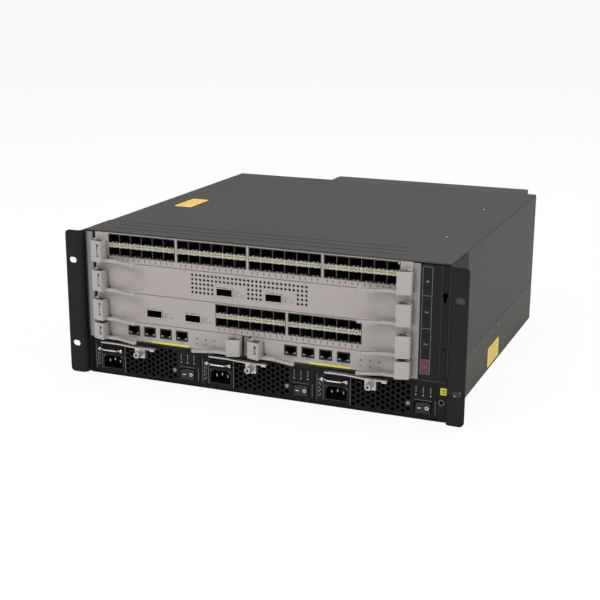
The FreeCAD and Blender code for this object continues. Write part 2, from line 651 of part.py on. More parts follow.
# ----------------------------------------------------------------------------------------
# Cards
# ----------------------------------------------------------------------------------------
def pan(label, left, level, wide, tall, block_top):
    """A card's folded face with the hinge pins of its two ejectors; not yet pierced."""
    face = Piece(label, at=(left, FACE + S.fit_gap, level))
    face.pad(FRONT, 0, S.card_sheet, rect(0, wide, 0, tall))
    face.pad(FRONT, S.card_sheet, S.card_flange,
             rect(0, wide, 0, S.card_sheet),
             rect(0, wide, tall - S.card_sheet, tall))
    face.round(S.card_fold, along("x", y=0, z=[0, tall]))
    hinge_pins(face, wide, block_top)
    return face


def pivot_places(wide):
    """Distance of the left and right ejector pivots from the card's left edge."""
    inset = S.knuckle_radius - S.block_overhang
    return [inset, wide - inset]


def hinge_pins(face, wide, block_top):
    """A lug over each ejector block, and the pin that hangs from it through the block."""
    lug_low = block_top + S.fit_gap
    for pivot in pivot_places(wide):
        face.pad(TOP, lug_low, lug_low + S.lug_thick,
                 rect(pivot - S.knuckle_radius + S.block_overhang,
                      pivot + S.knuckle_radius - S.block_overhang,
                      -S.pivot_stand - S.pivot_pin, 0))
        face.pad(TOP, S.arm_low + S.fit_gap, lug_low,
                 disc(pivot, -S.pivot_stand, S.pivot_pin))


def ejector(label, left, level, wide, hand, block_top):
    """A cast ejector: block round its pivot, and a flat arm that bends to the front.

    Its own frame has the pivot at the origin; u runs inwards along the face and v forwards.
    """
    pivot = pivot_places(wide)[0 if hand > 0 else 1]
    lever = Piece(label, at=(left + pivot, FACE + S.fit_gap - S.pivot_stand, level))

    def plan(points):
        return loop([(hand * u, -Size.of(v)) for u, v in points])

    rear = -S.knuckle_radius
    inner = S.block_wide - S.knuckle_radius
    block_low = S.arm_low + S.arm_thick
    front = S.block_out - S.pivot_stand
    side_front = S.block_out_side - S.pivot_stand
    heel = rear / 2
    lever.pad(TOP, S.arm_low, block_top, plan([
        (heel, rear), (inner, rear), (inner, front), (rear, side_front), (rear, heel)]))
    arm_rear = rear + S.arm_set_in
    arm_front = arm_rear + S.arm_wide
    lever.pad(TOP, S.arm_low, block_low, plan([
        (inner / 2, arm_rear), (S.arm_straight, arm_rear),
        (S.arm_reach, arm_rear + S.arm_lift),
        (S.arm_reach, arm_front + S.arm_lift), (S.arm_straight, arm_front),
        (inner / 2, arm_front)]))
    lever.round(S.arm_tip_bevel, along("z", x=hand * S.arm_reach), "Chamfer")
    if hand > 0:
        lever.cut(FRONT, -front - 1, -front + S.window_deep,
                  rect(S.window_in - S.window_wide / 2, S.window_in + S.window_wide / 2,
                       block_low + S.window_margin, block_top - S.window_margin))
    lever.cut(TOP, S.arm_low - S.fit_gap, block_top + S.fit_gap,
              hexagon(0, 0, 2 * (S.pivot_pin + S.pivot_play)))


def circuit_board(label, left, level, wide, plugs, sinks):
    """A card's board with its rear plugs and finned heat sinks soldered or clipped on."""
    board = Piece(label)
    low = level + S.board_level
    top = low + S.board_thick
    rear = FACE + CARD_DEEP
    board.pad(TOP, low, top, rect(left + S.board_inset, left + wide - S.board_inset,
                                  FACE + S.board_start, rear - S.fit_gap))
    board.pad(FRONT, rear - S.plug_long, rear, *plugs)
    for middle in sinks:
        side = middle - S.sink_wide / 2
        front = FACE + S.sink_from
        board.pad(TOP, top, top + S.sink_base,
                  rect(side, side + S.sink_wide, front, front + S.sink_long))
        fin = board.pad(TOP, top + S.sink_base, top + S.sink_base + S.sink_tall,
                        rect(side, side + S.sink_fin, front, front + S.sink_long))
        board.repeat(fin, S.sink_fins, (S.sink_wide - S.sink_fin) / (S.sink_fins - 1))


def as_fit(count, first, pitch, end):
    """The named count of a row, or fewer where the row's last would pass the end."""
    room = int((end - first).number / pitch.number)
    return min(int(count.number), room + 1)


def port_groups(first, count):
    """Left edges, in the card's frame, of the groups of six pluggable ports."""
    pitch = GROUP_WIDE + S.group_gap
    last = CARD_WIDE - S.block_wide + S.block_overhang - GROUP_WIDE
    return [first + group * pitch for group in range(as_fit(count, first, pitch, last))]


def group_window(left):
    """The face opening round a group's cage."""
    margin = S.port_wall / 2 + S.cage_window
    return rect(left - margin, left + S.ports * S.port_pitch + margin,
                S.cage_low - S.cage_window, S.cage_top + S.cage_window)


def wide_window(left):
    """The face opening round one wide port's cage."""
    margin = S.wide_wall + S.cage_window
    return rect(left - margin, left + S.wide_port + margin,
                S.wide_port_low - margin, S.wide_port_low + S.wide_port_tall + margin)


def cages(label, slot, groups, wide_ports):
    """Sheet cages behind the face: groups of two rows of six ports, and wide single ports."""
    cage = Piece(label, at=(CARD_LEFT, FACE + S.fit_gap, card_level(slot)))
    front = -S.cage_proud
    if groups:
        wide = S.ports * S.port_pitch
        side = S.port_wall / 2
        cage.pad(FRONT, front, S.cage_deep,
                 *[rect(left - side, left + wide + side, S.cage_low, S.cage_top)
                   for left in groups])
        cage.cut(FRONT, front - 1, front + S.light_strip,
                 *[rect(left + side, left + wide - side,
                        S.row_low + S.row_tall + S.port_wall, S.row_high - S.port_wall)
                   for left in groups])
        mouths = []
        for left in groups:
            for low in (S.row_low, S.row_high):
                mouths.append(rect(left + side, left + S.port_pitch - side,
                                   low, low + S.row_tall))
        ports = cage.cut(FRONT, front - 1, S.cage_deep - S.port_wall, *mouths)
        cage.repeat(ports, S.ports, S.port_pitch)
    if wide_ports:
        low, high = S.wide_port_low, S.wide_port_low + S.wide_port_tall
        cage.pad(FRONT, front, S.wide_deep,
                 *[rect(left - S.wide_wall, left + S.wide_port + S.wide_wall,
                        low - S.wide_wall, high + S.wide_wall) for left in wide_ports])
        cage.cut(FRONT, front - 1, S.wide_deep - S.wide_wall,
                 *[rect(left, left + S.wide_port, low, high) for left in wide_ports])


def pierce_air_holes(face):
    """Rows of air holes: the upper ones run through, the lower stop round the wide ports."""
    def field(first, columns, low_row, rows):
        middle = S.hole_first + first * S.hole_pitch
        levels = [S.hole_low + (low_row + row) * S.hole_row_pitch for row in range(rows)]
        holes = face.cut(FRONT, -S.card_sheet, 2 * S.card_sheet,
                         *[diamond(middle, level, S.hole_across) for level in levels])
        face.repeat(holes, columns, S.hole_pitch)
    part_rows = int(S.hole_part_rows.number)
    field(0, S.hole_columns, part_rows, int(S.hole_full_rows.number))
    field(0, S.hole_left_columns, 0, part_rows)
    field(S.hole_between_from, S.hole_between_columns, 0, part_rows)
    field(S.hole_columns - S.hole_right_columns, S.hole_right_columns, 0, part_rows)


def line_card(slot, name, groups, wide_ports, air_holes):
    """Face, board, cages and both ejectors of one full width card."""
    level = card_level(slot)
    face = pan(name + "_faceplate", CARD_LEFT, level, CARD_WIDE, S.card_tall, S.block_top)
    windows = [group_window(left) for left in groups]
    windows += [wide_window(left) for left in wide_ports]
    face.cut(FRONT, -S.card_sheet, S.card_sheet, *windows)
    if air_holes:
        pierce_air_holes(face)
    circuit_board(name + "_board", CARD_LEFT, level, CARD_WIDE,
                  header_shapes(level, CARD_LEFT, CARD_WIDE),
                  [CARD_LEFT + CARD_WIDE * S.sink_share,
                   CARD_RIGHT - CARD_WIDE * S.sink_share])
    cages(name + "_cages", slot, groups, wide_ports)
    for side, hand in (("left", 1), ("right", -1)):
        ejector("%s_ejector_%s" % (name, side), CARD_LEFT, level, CARD_WIDE, hand,
                S.block_top)


def line_cards():
    """The three line cards; their numbers run down from the top as the slots do."""
    full = port_groups(S.group_first, S.groups)
    short = port_groups(S.short_group_first, S.short_groups)
    upper = [S.upper_wide_first, S.upper_wide_first + S.upper_wide_pitch]
    lower = [S.lower_wide_first, S.lower_wide_first + S.lower_wide_pitch]
    line_card(2, "line_card_1", full, [], False)
    line_card(1, "line_card_2", [], upper, True)
    line_card(0, "line_card_3", short, lower, False)


def jack_mouth(left):
    """A network socket's opening with its latch key cut in the lower edge."""
    low, high = S.jack_port_low, S.jack_port_low + S.jack_port_tall
    middle = left + S.jack_port / 2
    key = S.jack_key / 2
    step = low + S.jack_key_tall
    return loop([(middle - key, low), (middle + key, low), (middle + key, step),
                 (left + S.jack_port, step), (left + S.jack_port, high), (left, high),
                 (left, step), (middle - key, step)])


def control_card(name, left):
    """Face, board, network sockets and both ejectors of one half width card."""
    level = CONTROL_LEVEL
    face = pan(name + "_faceplate", left, level, CONTROL_WIDE, S.control_tall,
               S.control_block_top)
    lefts = [S.jack_first + port * S.jack_pitch for port in range(int(S.jack_ports.number))]
    low = S.jack_port_low - S.jack_floor
    high = S.jack_port_low + S.jack_port_tall + S.jack_wall
    margin = S.jack_wall + S.cage_window
    face.cut(FRONT, -S.card_sheet, S.card_sheet,
             *[rect(one - margin, one + S.jack_port + margin, low - S.cage_window,
                    high + S.cage_window) for one in lefts])
    jacks = Piece(name + "_jacks", at=(left, FACE + S.fit_gap, level))
    jacks.pad(FRONT, -S.cage_proud, S.jack_deep,
              *[rect(one - S.jack_wall, one + S.jack_port + S.jack_wall, low, high)
                for one in lefts])
    jacks.cut(FRONT, -2 * S.cage_proud, S.jack_deep - S.jack_wall,
              *[jack_mouth(one) for one in lefts])
    circuit_board(name + "_board", left, level, CONTROL_WIDE, [control_plug(left, level)],
                  [])
    for side, hand in (("left", 1), ("right", -1)):
        ejector("%s_ejector_%s" % (name, side), left, level, CONTROL_WIDE, hand,
                S.control_block_top)


# ----------------------------------------------------------------------------------------
# Power modules
# ----------------------------------------------------------------------------------------
def power_case(name, at):
    """Hollow case with its pierced face, rear plug and the lugs of its moving fittings."""
    case = Piece(name + "_case", at=at)
    inset, wall = S.power_inset, S.power_wall
    case.pad(FRONT, 0, POWER_DEEP,
             rect(inset, POWER_WIDE - inset, S.fit_gap, POWER_TALL - S.fit_gap))
    case.cut(FRONT, S.power_face, POWER_DEEP - wall,
             rect(inset + wall, POWER_WIDE - inset - wall, S.fit_gap + wall,
                  POWER_TALL - S.fit_gap - wall))
    case.pad(FRONT, 0, S.power_face, rect(0, POWER_WIDE, 0, POWER_TALL))
    case.pad(FRONT, POWER_DEEP, POWER_DEEP + S.plug_long, power_plug(POWER_WIDE / 2, 0))
    through = (-S.power_face, 2 * S.power_face)
    gap = S.fit_gap
    case.cut(FRONT, *through,
             rect(S.inlet_left - gap, S.inlet_left + S.inlet_wide + gap, S.inlet_low - gap,
                  S.inlet_low + S.inlet_tall + gap),
             rect(ROCKER_LEFT, ROCKER_LEFT + S.rocker_wide, S.rocker_low,
                  S.rocker_low + S.rocker_tall))
    lever_lug(case)
    for end in (S.bail_left, S.bail_left + S.bail_wide):
        outwards = -1 if end is S.bail_left else 1
        bail_ear(case, end, outwards)
    pierce_grille(case, through)


def pierce_grille(case, through):
    """Hexagonal air holes in staggered columns."""
    full_rows = int(S.grille_rows.number)
    columns = as_fit(S.grille_columns, S.grille_left, S.grille_pitch,
                     ROCKER_LEFT - S.grille_across / 2)
    for start, rows, lift in ((0, full_rows, 0.0), (1, full_rows - 1, 0.5)):
        middle = S.grille_left + start * S.grille_pitch
        holes = [hexagon(middle, S.grille_low + (row + lift) * S.grille_row_pitch,
                         S.grille_across) for row in range(rows)]
        first = case.cut(FRONT, *through, *holes)
        case.repeat(first, (columns + 1 - start) // 2, 2 * S.grille_pitch)


def lever_lug(case):
    """The lug under the latch lever and the pin that the lever turns on."""
    side = S.lever_pivot
    lug_high = S.lever_low - S.fit_gap
    case.pad(TOP, lug_high - S.lug_thick, lug_high,
             rect(side - S.knuckle_radius, side + S.knuckle_radius,
                  -S.lever_stand - S.pivot_pin, 0))
    case.pad(TOP, lug_high, S.lever_low + S.lever_sheet,
             disc(side, -S.lever_stand, S.pivot_pin))


def bail_ear(case, end, outwards):
    """A round ear that carries one end of the cord bail."""
    ends = (end - S.ferrule_long, end) if outwards < 0 else (end, end + S.ferrule_long)
    radius = S.ear_ferrule
    case.pad(SIDE, *ends, hexagon(-S.bail_stand, S.bail_level, 2 * radius))
    case.pad(SIDE, *ends, rect(-S.bail_stand, 0, S.bail_level - radius / 2,
                               S.bail_level + radius / 2))
    case.cut(SIDE, *ends,
             hexagon(-S.bail_stand, S.bail_level, 2 * (S.bail_wire + S.pivot_play)))


def mains_inlet(name, at):
    """The mains inlet: bevelled shroud, closed floor and three blades."""
    inlet = Piece(name + "_inlet", at=at)
    left, right = S.inlet_left, S.inlet_left + S.inlet_wide
    low, high = S.inlet_low, S.inlet_low + S.inlet_tall
    wall, bevel = S.inlet_wall, S.inlet_bevel
    inlet.pad(FRONT, -S.inlet_proud, S.inlet_deep, rect(left, right, low, high))
    inlet.cut(FRONT, -2 * S.inlet_proud, S.inlet_deep - S.inlet_floor, loop([
        (left + wall, low + wall), (right - wall, low + wall),
        (right - wall, high - wall - bevel), (right - wall - bevel, high - wall),
        (left + wall + bevel, high - wall), (left + wall, high - wall - bevel)]))
    middle = (left + right) / 2
    floor = S.inlet_deep - S.inlet_floor
    level = (low + high) / 2 - S.blade_tall / 2
    blades = []
    for step, lift in ((-1, 0.0), (0, 1.0), (1, 0.0)):
        spot = middle + step * S.blade_pitch
        raised = level + lift * S.blade_wide
        blades.append(rect(spot - S.blade_wide / 2, spot + S.blade_wide / 2, raised,
                           raised + S.blade_tall))
    inlet.pad(FRONT, floor - S.blade_long, floor, *blades)


def rocker(name, at):
    """The mains rocker on its round hub, standing with one side pressed."""
    x, y, z = at
    side_room = S.rocker_wide / 2 - S.rocker_side_play
    paddle = Piece(name + "_rocker",
                   at=(x + ROCKER_LEFT + S.rocker_wide / 2, y + S.rocker_pivot, z))
    paddle.body.setExpression("Placement.Rotation.Angle", S.rocker_tilt.formula)
    low = S.rocker_low + S.rocker_play
    high = S.rocker_low + S.rocker_tall - S.rocker_play
    front = -S.rocker_pivot - S.rocker_stand
    paddle.pad(TOP, low, high, loop([
        (-side_room, front), (0, front + S.rocker_dip), (side_room, front),
        (side_room, 0), (-side_room, 0)]))
    paddle.pad(TOP, low, high, disc(0, 0, S.rocker_hub))


def latch_lever(name, at):
    """The latch lever: a flat strip with a thick tip and a turned down tab for its screw."""
    x, y, z = at
    lever = Piece(name + "_lever", at=(x + S.lever_pivot, y - S.lever_stand, z))
    low, sheet, radius = S.lever_low, S.lever_sheet, S.knuckle_radius
    front, rear, heel = S.lever_out, S.lever_out - S.lever_wide, S.knuckle_radius / 2
    tab_left = S.tab_middle - S.tab_wide / 2
    tab_right = S.tab_middle + S.tab_wide / 2
    tab_low = low - S.tab_drop
    plan = [(-heel, -radius), (S.lever_neck, -radius), (tab_left, rear),
            (S.lever_reach, rear), (S.lever_reach, front), (tab_left, front),
            (S.lever_neck, radius), (-heel, radius), (-radius, heel), (-radius, -heel)]
    lever.pad(TOP, low, low + sheet, loop([(u, -v) for u, v in plan]))
    lever.pad(TOP, low - S.tip_drop, low,
              rect(S.lever_reach - S.tip_long, S.lever_reach, -front, -rear))
    lever.pad(FRONT, -front, sheet - front, rect(tab_left, tab_right, tab_low, low))
    lever.pad(FRONT, sheet - front, -rear, rect(tab_right - sheet, tab_right, tab_low, low))
    lever.cut(TOP, low - sheet, low + 2 * sheet,
              hexagon(0, 0, 2 * (S.pivot_pin + S.pivot_play)))
    lever.cut(FRONT, -front - sheet, 2 * sheet - front,
              hexagon(S.tab_middle, S.screw_level, 2 * (S.screw_shank + 2 * S.fit_gap)))


def captive_screw(name, at):
    """The thumbscrew in the lever's tab, drawn out of its thread: a head and a shank."""
    x, y, z = at
    screw = Piece(name + "_thumbscrew",
                  at=(x + S.lever_pivot + S.tab_middle, y, z + S.screw_level))
    seat = -S.lever_stand - S.lever_out - S.fit_gap
    screw.pad(FRONT, seat - S.screw_head_long, seat, disc(0, 0, S.screw_head))
    screw.pad(FRONT, seat, -S.screw_drawn, hexagon(0, 0, 2 * S.screw_shank))


def cord_bail(name, at):
    """The wire bail over the inlet, with its two ends in the case's ears."""
    x, y, z = at
    bail = Piece(name + "_bail",
                 at=(x + S.bail_left, y - S.bail_stand, z + S.bail_level))
    wire, wide = S.bail_wire, S.bail_wide
    section = wire * math.sqrt(3)
    shoulder = S.bail_shoulder
    for left, right in ((-S.ferrule_long, shoulder + wire),
                        (wide - shoulder - wire, wide + S.ferrule_long)):
        bail.pad(SIDE, left, right, hexagon(0, 0, section))
    bail.pad(SIDE, shoulder, wide - shoulder, hexagon(-S.bail_reach, 0, section))
    for arm in (shoulder, wide - shoulder):
        bail.pad(FRONT, -S.bail_reach, 0, hexagon(arm, 0, section))


def power_modules():
    """Three alike modules, counted from the left."""
    for bay in range(POWER_BAYS):
        name = "power_%d" % (bay + 1)
        left = BAY_LEFT + bay * BAY_PITCH + S.power_gap / 2
        at = (left, FACE + S.front_gap, POWER_LEVEL)
        power_case(name, at)
        mains_inlet(name, at)
        rocker(name, at)
        latch_lever(name, at)
        captive_screw(name, at)
        cord_bail(name, at)


# ----------------------------------------------------------------------------------------
# Fan tray
# ----------------------------------------------------------------------------------------
def fan_places():
    """The fans' two axes across the tray."""
    return [TRAY_MIDDLE - S.fan_pitch / 2, TRAY_MIDDLE + S.fan_pitch / 2]


def fan_tray():
    """The drawer that carries the fans, its proud rear box and its louvred rear wall."""
    tray = Piece("fan_tray")
    lip, sheet = S.tray_lip, S.tray_sheet
    left, right = TRAY_LEFT + lip, TRAY_RIGHT - lip
    start = BACK - S.tray_inside
    seam = BACK + S.fit_gap
    end = BACK + S.tray_proud
    tray.pad(FRONT, start, seam, rect(left, right, TRAY_LOW, TRAY_HIGH))
    tray.pad(FRONT, seam, end, rect(TRAY_LEFT, TRAY_RIGHT, SHELF_TOP - lip / 2,
                                    ROOF - S.tray_top_drop))
    tray.cut(FRONT, start - sheet, end - sheet,
             rect(left + sheet, right - sheet, TRAY_LOW + sheet, TRAY_HIGH - sheet))
    tray.round(S.fold_radius, along("z", x=[TRAY_LEFT, TRAY_RIGHT], y=end))
    rows = int((S.fan_bore.number * 2 - S.louvre_tall.number) / S.louvre_pitch.number)
    for row in range(rows):
        up = (row - (rows - 1) / 2) * S.louvre_pitch
        reach = math.sqrt(S.fan_bore.number ** 2 - up.number ** 2) / S.fan_bore.number
        half = S.fan_bore * reach - S.louvre_tall
        level = FAN_LEVEL + up
        tray.cut(FRONT, end - 2 * sheet, end + sheet,
                 *[rect(middle - half, middle + half, level - S.louvre_tall / 2,
                        level + S.louvre_tall / 2) for middle in fan_places()])
    holes = [hexagon(x, z, 2 * (S.tray_screw_shank + S.fit_gap))
             for x, z in tray_screw_places()]
    tray.cut(FRONT, seam - sheet, end + sheet, *holes)


def fan_frames():
    """Two square frames, each with its bore, four struts and a motor disc with a shaft."""
    frames = Piece("fan_frames")
    end = BACK + S.tray_proud - S.tray_sheet - S.fit_gap
    start = end - S.fan_thick
    half, bore, strut = S.fan_size / 2, S.fan_bore, S.strut_wide / 2
    middles = fan_places()
    frames.pad(FRONT, start, end, *[rect(m - half, m + half, FAN_LEVEL - half,
                                         FAN_LEVEL + half) for m in middles])
    frames.cut(FRONT, start - 1, end + 1, *[disc(m, FAN_LEVEL, bore) for m in middles])
    frames.pad(FRONT, end - S.strut_thick, end,
               *[rect(m - bore - strut, m + bore + strut, FAN_LEVEL - strut,
                      FAN_LEVEL + strut) for m in middles])
    frames.pad(FRONT, end - S.strut_thick, end,
               *[rect(m - strut, m + strut, FAN_LEVEL - bore - strut,
                      FAN_LEVEL + bore + strut) for m in middles])
    frames.pad(FRONT, end - S.motor_thick, end,
               *[disc(m, FAN_LEVEL, S.motor_radius) for m in middles])
    frames.pad(FRONT, end - S.motor_thick - S.hub_long + S.fit_gap, end - S.motor_thick,
               *[disc(m, FAN_LEVEL, S.shaft_radius) for m in middles])


def blade_section(radius, turn, chord, thick):
    """A blade's flat section at one radius, turned about the radial line."""
    slope = math.radians(turn)
    ahead = FreeCAD.Vector(math.cos(slope), math.sin(slope), 0)
    across = FreeCAD.Vector(-math.sin(slope), math.cos(slope), 0)
    corners = []
    for a, b in ((-0.5, -0.5), (0.5, -0.5), (0.5, 0.5), (-0.5, 0.5)):
        spot = a * chord * ahead + b * thick * across
        corners.append(FreeCAD.Vector(spot.x, spot.y, radius))
    return Part.makePolygon(corners + corners[:1])


def hub_prism(radius, long, sides):
    """A many sided hub about the Y axis, through the corners of its circle."""
    corners = []
    for side in range(sides):
        turn = 2 * math.pi * side / sides
        corners.append(FreeCAD.Vector(radius * math.cos(turn), -long / 2,
                                      radius * math.sin(turn)))
    outline = Part.makePolygon(corners + corners[:1])
    return Part.Face(outline).extrude(FreeCAD.Vector(0, long, 0))


def fan_rotor(label, middle):
    """Hub with a bore for the shaft and pitched blades lofted wider from root to tip."""
    hub, long = S.hub_radius.number, S.hub_long.number
    tip = S.fan_bore.number - S.blade_tip_play.number
    chord, thick = S.blade_chord.number, S.blade_thick.number
    bore = S.shaft_radius.number + S.shaft_play.number
    axis = FreeCAD.Vector(0, 1, 0)
    solid = hub_prism(hub, long, int(S.hub_sides.number))
    turn = S.blade_turn.number
    root = blade_section(hub - thick, turn, chord * S.blade_root_share.number, thick)
    end = blade_section(tip, turn, chord, thick)
    blade = Part.makeLoft([root, end], True, True)
    count = int(S.blades.number)
    for number in range(count):
        turned = blade.copy()
        turned.rotate(FreeCAD.Vector(), axis, 360.0 * number / count)
        solid = solid.fuse(turned)
    drill = Part.makeCylinder(bore, long + 2, FreeCAD.Vector(0, -long / 2 - 1, 0), axis)
    rotor = DOC.addObject("Part::Feature", label)
    rotor.Label = label
    rotor.Shape = solid.cut(drill)
    end_face = BACK + S.tray_proud - S.tray_sheet - S.fit_gap - S.motor_thick
    place = (middle, end_face - S.hub_long / 2 - S.fit_gap, FAN_LEVEL)
    for name, size in zip("xyz", place):
        rotor.setExpression("Placement.Base." + name, size.formula)
    return rotor


def tray_screw_places():
    """Where the tray's four captive screws stand, at the corners of its rear wall."""
    places = []
    for x in (TRAY_LEFT + S.tray_screw_in, TRAY_RIGHT - S.tray_screw_in):
        for z in (SHELF_TOP + S.tray_screw_in, ROOF - S.tray_screw_in):
            places.append((x, z))
    return places


def tray_screws():
    """Four captive screws that reach from the tray's rear wall to the chassis wall."""
    screws = Piece("tray_screws")
    end = BACK + S.tray_proud
    screws.pad(FRONT, end + S.fit_gap, end + S.fit_gap + S.tray_screw_head,
               *[disc(x, z, S.tray_screw_radius) for x, z in tray_screw_places()])
    screws.pad(FRONT, BACK + 2 * S.fit_gap, end + S.fit_gap,
               *[hexagon(x, z, 2 * S.tray_screw_shank) for x, z in tray_screw_places()])


# ----------------------------------------------------------------------------------------
# The whole assembly, its checks and its files
# ----------------------------------------------------------------------------------------
def build():
    """Make every sub-part; returns the document objects to write, by label."""
    lower_tub()
    upper_shell()
    mid_shelf()
    bay_dividers()
    card_guides()
    control_post()
    backplane()
    rack_ear("rack_ear_left", -1)
    rack_ear("rack_ear_right", 1)
    slot_rails()
    label_panel()
    wrist_strap_jack()
    line_cards()
    for number, left in enumerate(control_lefts(), start=1):
        control_card("control_card_%d" % number, left)
    power_modules()
    fan_tray()
    fan_frames()
    rotors = [fan_rotor(label, middle) for label, middle in
              zip(("fan_rotor_left", "fan_rotor_right"), fan_places())]
    tray_screws()
    DOC.recompute()
    parts = {piece.body.Label: piece.body for piece in Piece.made}
    parts.update({rotor.Label: rotor for rotor in rotors})
    return parts


def check(parts):
    """Stop if anything failed, or if a pad took material away or a pocket added some."""
    for thing in DOC.Objects:
        if "Invalid" in thing.State or "Error" in thing.State:
            raise RuntimeError("%s (%s) failed: %s" % (thing.Name, thing.Label, thing.State))
    for piece in Piece.made:
        for feature, wanted in piece.steps:
            before = feature.BaseFeature.Shape.Volume if feature.BaseFeature else 0.0
            change = feature.Shape.Volume - before
            if (change > 0) != (wanted == "more") or change == 0:
                raise RuntimeError("%s of %s changed the volume by %.3f"
                                   % (feature.Name, piece.body.Label, change))
    for label, thing in parts.items():
        shape = thing.Shape
        if shape.isNull() or not shape.isValid() or not shape.Solids:
            raise RuntimeError("%s has no valid shape" % label)


def write(parts):
    """Write one STEP file for each sub-part."""
    os.makedirs("parts", exist_ok=True)
    for label, thing in parts.items():
        thing.Shape.exportStep(os.path.join("parts", label + ".step"))
    print("%d sub-parts, %d solids" % (len(parts),
                                       sum(len(p.Shape.Solids) for p in parts.values())))


PARTS = build()
check(PARTS)
write(PARTS)
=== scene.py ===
"""Visual model of a modular chassis switch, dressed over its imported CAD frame.

Every length is in metres in the frame's own axes: X to the right seen from the front, Y to
the rear and Z up, from the middle of the chassis underside.
"""
import json
import logging
import math
from dataclasses import dataclass
from enum import Enum
from typing import Any, Dict, Iterable, List, Optional, Sequence, Tuple, Union

import bmesh
import bpy
import numpy as np
from mathutils import Matrix, Vector
from mathutils.geometry import delaunay_2d_cdt


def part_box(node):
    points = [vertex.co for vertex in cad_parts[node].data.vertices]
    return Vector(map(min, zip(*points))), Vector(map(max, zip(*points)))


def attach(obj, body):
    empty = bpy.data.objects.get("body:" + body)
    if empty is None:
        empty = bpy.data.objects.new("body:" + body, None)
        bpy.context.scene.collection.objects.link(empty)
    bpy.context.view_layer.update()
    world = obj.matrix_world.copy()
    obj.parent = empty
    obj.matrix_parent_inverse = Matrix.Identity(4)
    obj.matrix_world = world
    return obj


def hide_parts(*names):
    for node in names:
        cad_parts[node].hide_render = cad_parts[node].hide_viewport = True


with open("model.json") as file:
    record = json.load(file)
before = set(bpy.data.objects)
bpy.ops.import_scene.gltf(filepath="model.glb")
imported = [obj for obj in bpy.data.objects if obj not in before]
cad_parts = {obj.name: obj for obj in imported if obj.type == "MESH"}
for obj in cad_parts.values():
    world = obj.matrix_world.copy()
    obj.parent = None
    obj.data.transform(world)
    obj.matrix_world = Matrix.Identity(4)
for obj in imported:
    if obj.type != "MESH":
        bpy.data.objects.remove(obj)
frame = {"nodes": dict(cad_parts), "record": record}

log = logging.getLogger("chassis_switch")

MM = 0.001
SEED = 11
FRONT_EDGE = -0.2142
SHELF_TOP = 0.0453
CARD_FACE = -214.7 * MM
POWER_FACE = -214.5 * MM
TOE_END, TOE_SLOPE, CURVE_SHIFT, CURVE_POWER = 0.04045, 12.92, 0.055, 2.4
KNURLS, KNURL_DEPTH = 48, 0.07
OUTWARD = (0, -1, 0)
WHITE = (1.0, 1.0, 1.0, 1.0)
SIDES = ("left", "right")
Colour = Tuple[float, float, float, float]
Point = Tuple[float, float, float]
Span = Tuple[float, float]
Shape = Tuple[np.ndarray, List[List[int]]]


def tint(code: str) -> Colour:
    """Turn a display colour into the linear colour that a shader takes.

    A level up to the toe's end is divided by the toe's slope. A higher one has the shift
    added, is divided by one plus the shift and is raised to the curve's power.

    Args:
        code: Six hex digits after a hash, such as "#5b5859".

    Returns:
        Red, green, blue and alpha, in linear light.
    """
    levels = [int(code[first:first + 2], 16) / 255.0 for first in (1, 3, 5)]
    return (*(level / TOE_SLOPE if level <= TOE_END
              else ((level + CURVE_SHIFT) / (1.0 + CURVE_SHIFT)) ** CURVE_POWER
              for level in levels), 1.0)


def scaled(colour: Colour, gain: float, lift: float = 0.0) -> Colour:
    """Multiply a colour's light by a gain, add a lift and hold it at white.

    Args:
        colour: Linear red, green, blue and alpha.
        gain: What each part is multiplied by.
        lift: What is then added to each part.

    Returns:
        The new opaque colour.
    """
    return (*(min(1.0, gain * part + lift) for part in colour[:3]), 1.0)


# ----------------------------------------------------------------------------------------
# Shader building
# ----------------------------------------------------------------------------------------
class Wire:
    """One value in a shader, on which Python's arithmetic adds Math nodes."""

    def __init__(self, graph: "Graph", socket: bpy.types.NodeSocket) -> None:
        """Keep the node tree and the socket that gives the value."""
        self.graph, self.socket = graph, socket

    def __add__(self, other: Any) -> "Wire":
        """Add a value and this one."""
        return self.graph.maths("ADD", self, other)

    def __sub__(self, other: Any) -> "Wire":
        """Take a value from this one."""
        return self.graph.maths("SUBTRACT", self, other)

    def __rsub__(self, other: Any) -> "Wire":
        """Take this value from another."""
        return self.graph.maths("SUBTRACT", other, self)

    def __mul__(self, other: Any) -> "Wire":
        """Multiply a value and this one."""
        return self.graph.maths("MULTIPLY", self, other)

    def __lt__(self, other: Any) -> "Wire":
        """Give 1 where this value is under another, and 0 elsewhere."""
        return self.graph.maths("LESS_THAN", self, other)

    __radd__ = __add__
    __rmul__ = __mul__

    def ramp(self, start: float, end: float) -> "Wire":
        """Give the value less the start over the end less the start, held in 0 to 1.

        Args:
            start: The value that gives 0.
            end: The value that gives 1.

        Returns:
            The new value.
        """
        made = self.graph.node("ShaderNodeMapRange", {"clamp": True}, {
            "Value": self, "From Min": start, "From Max": end})
        return Wire(self.graph, made.outputs["Result"])


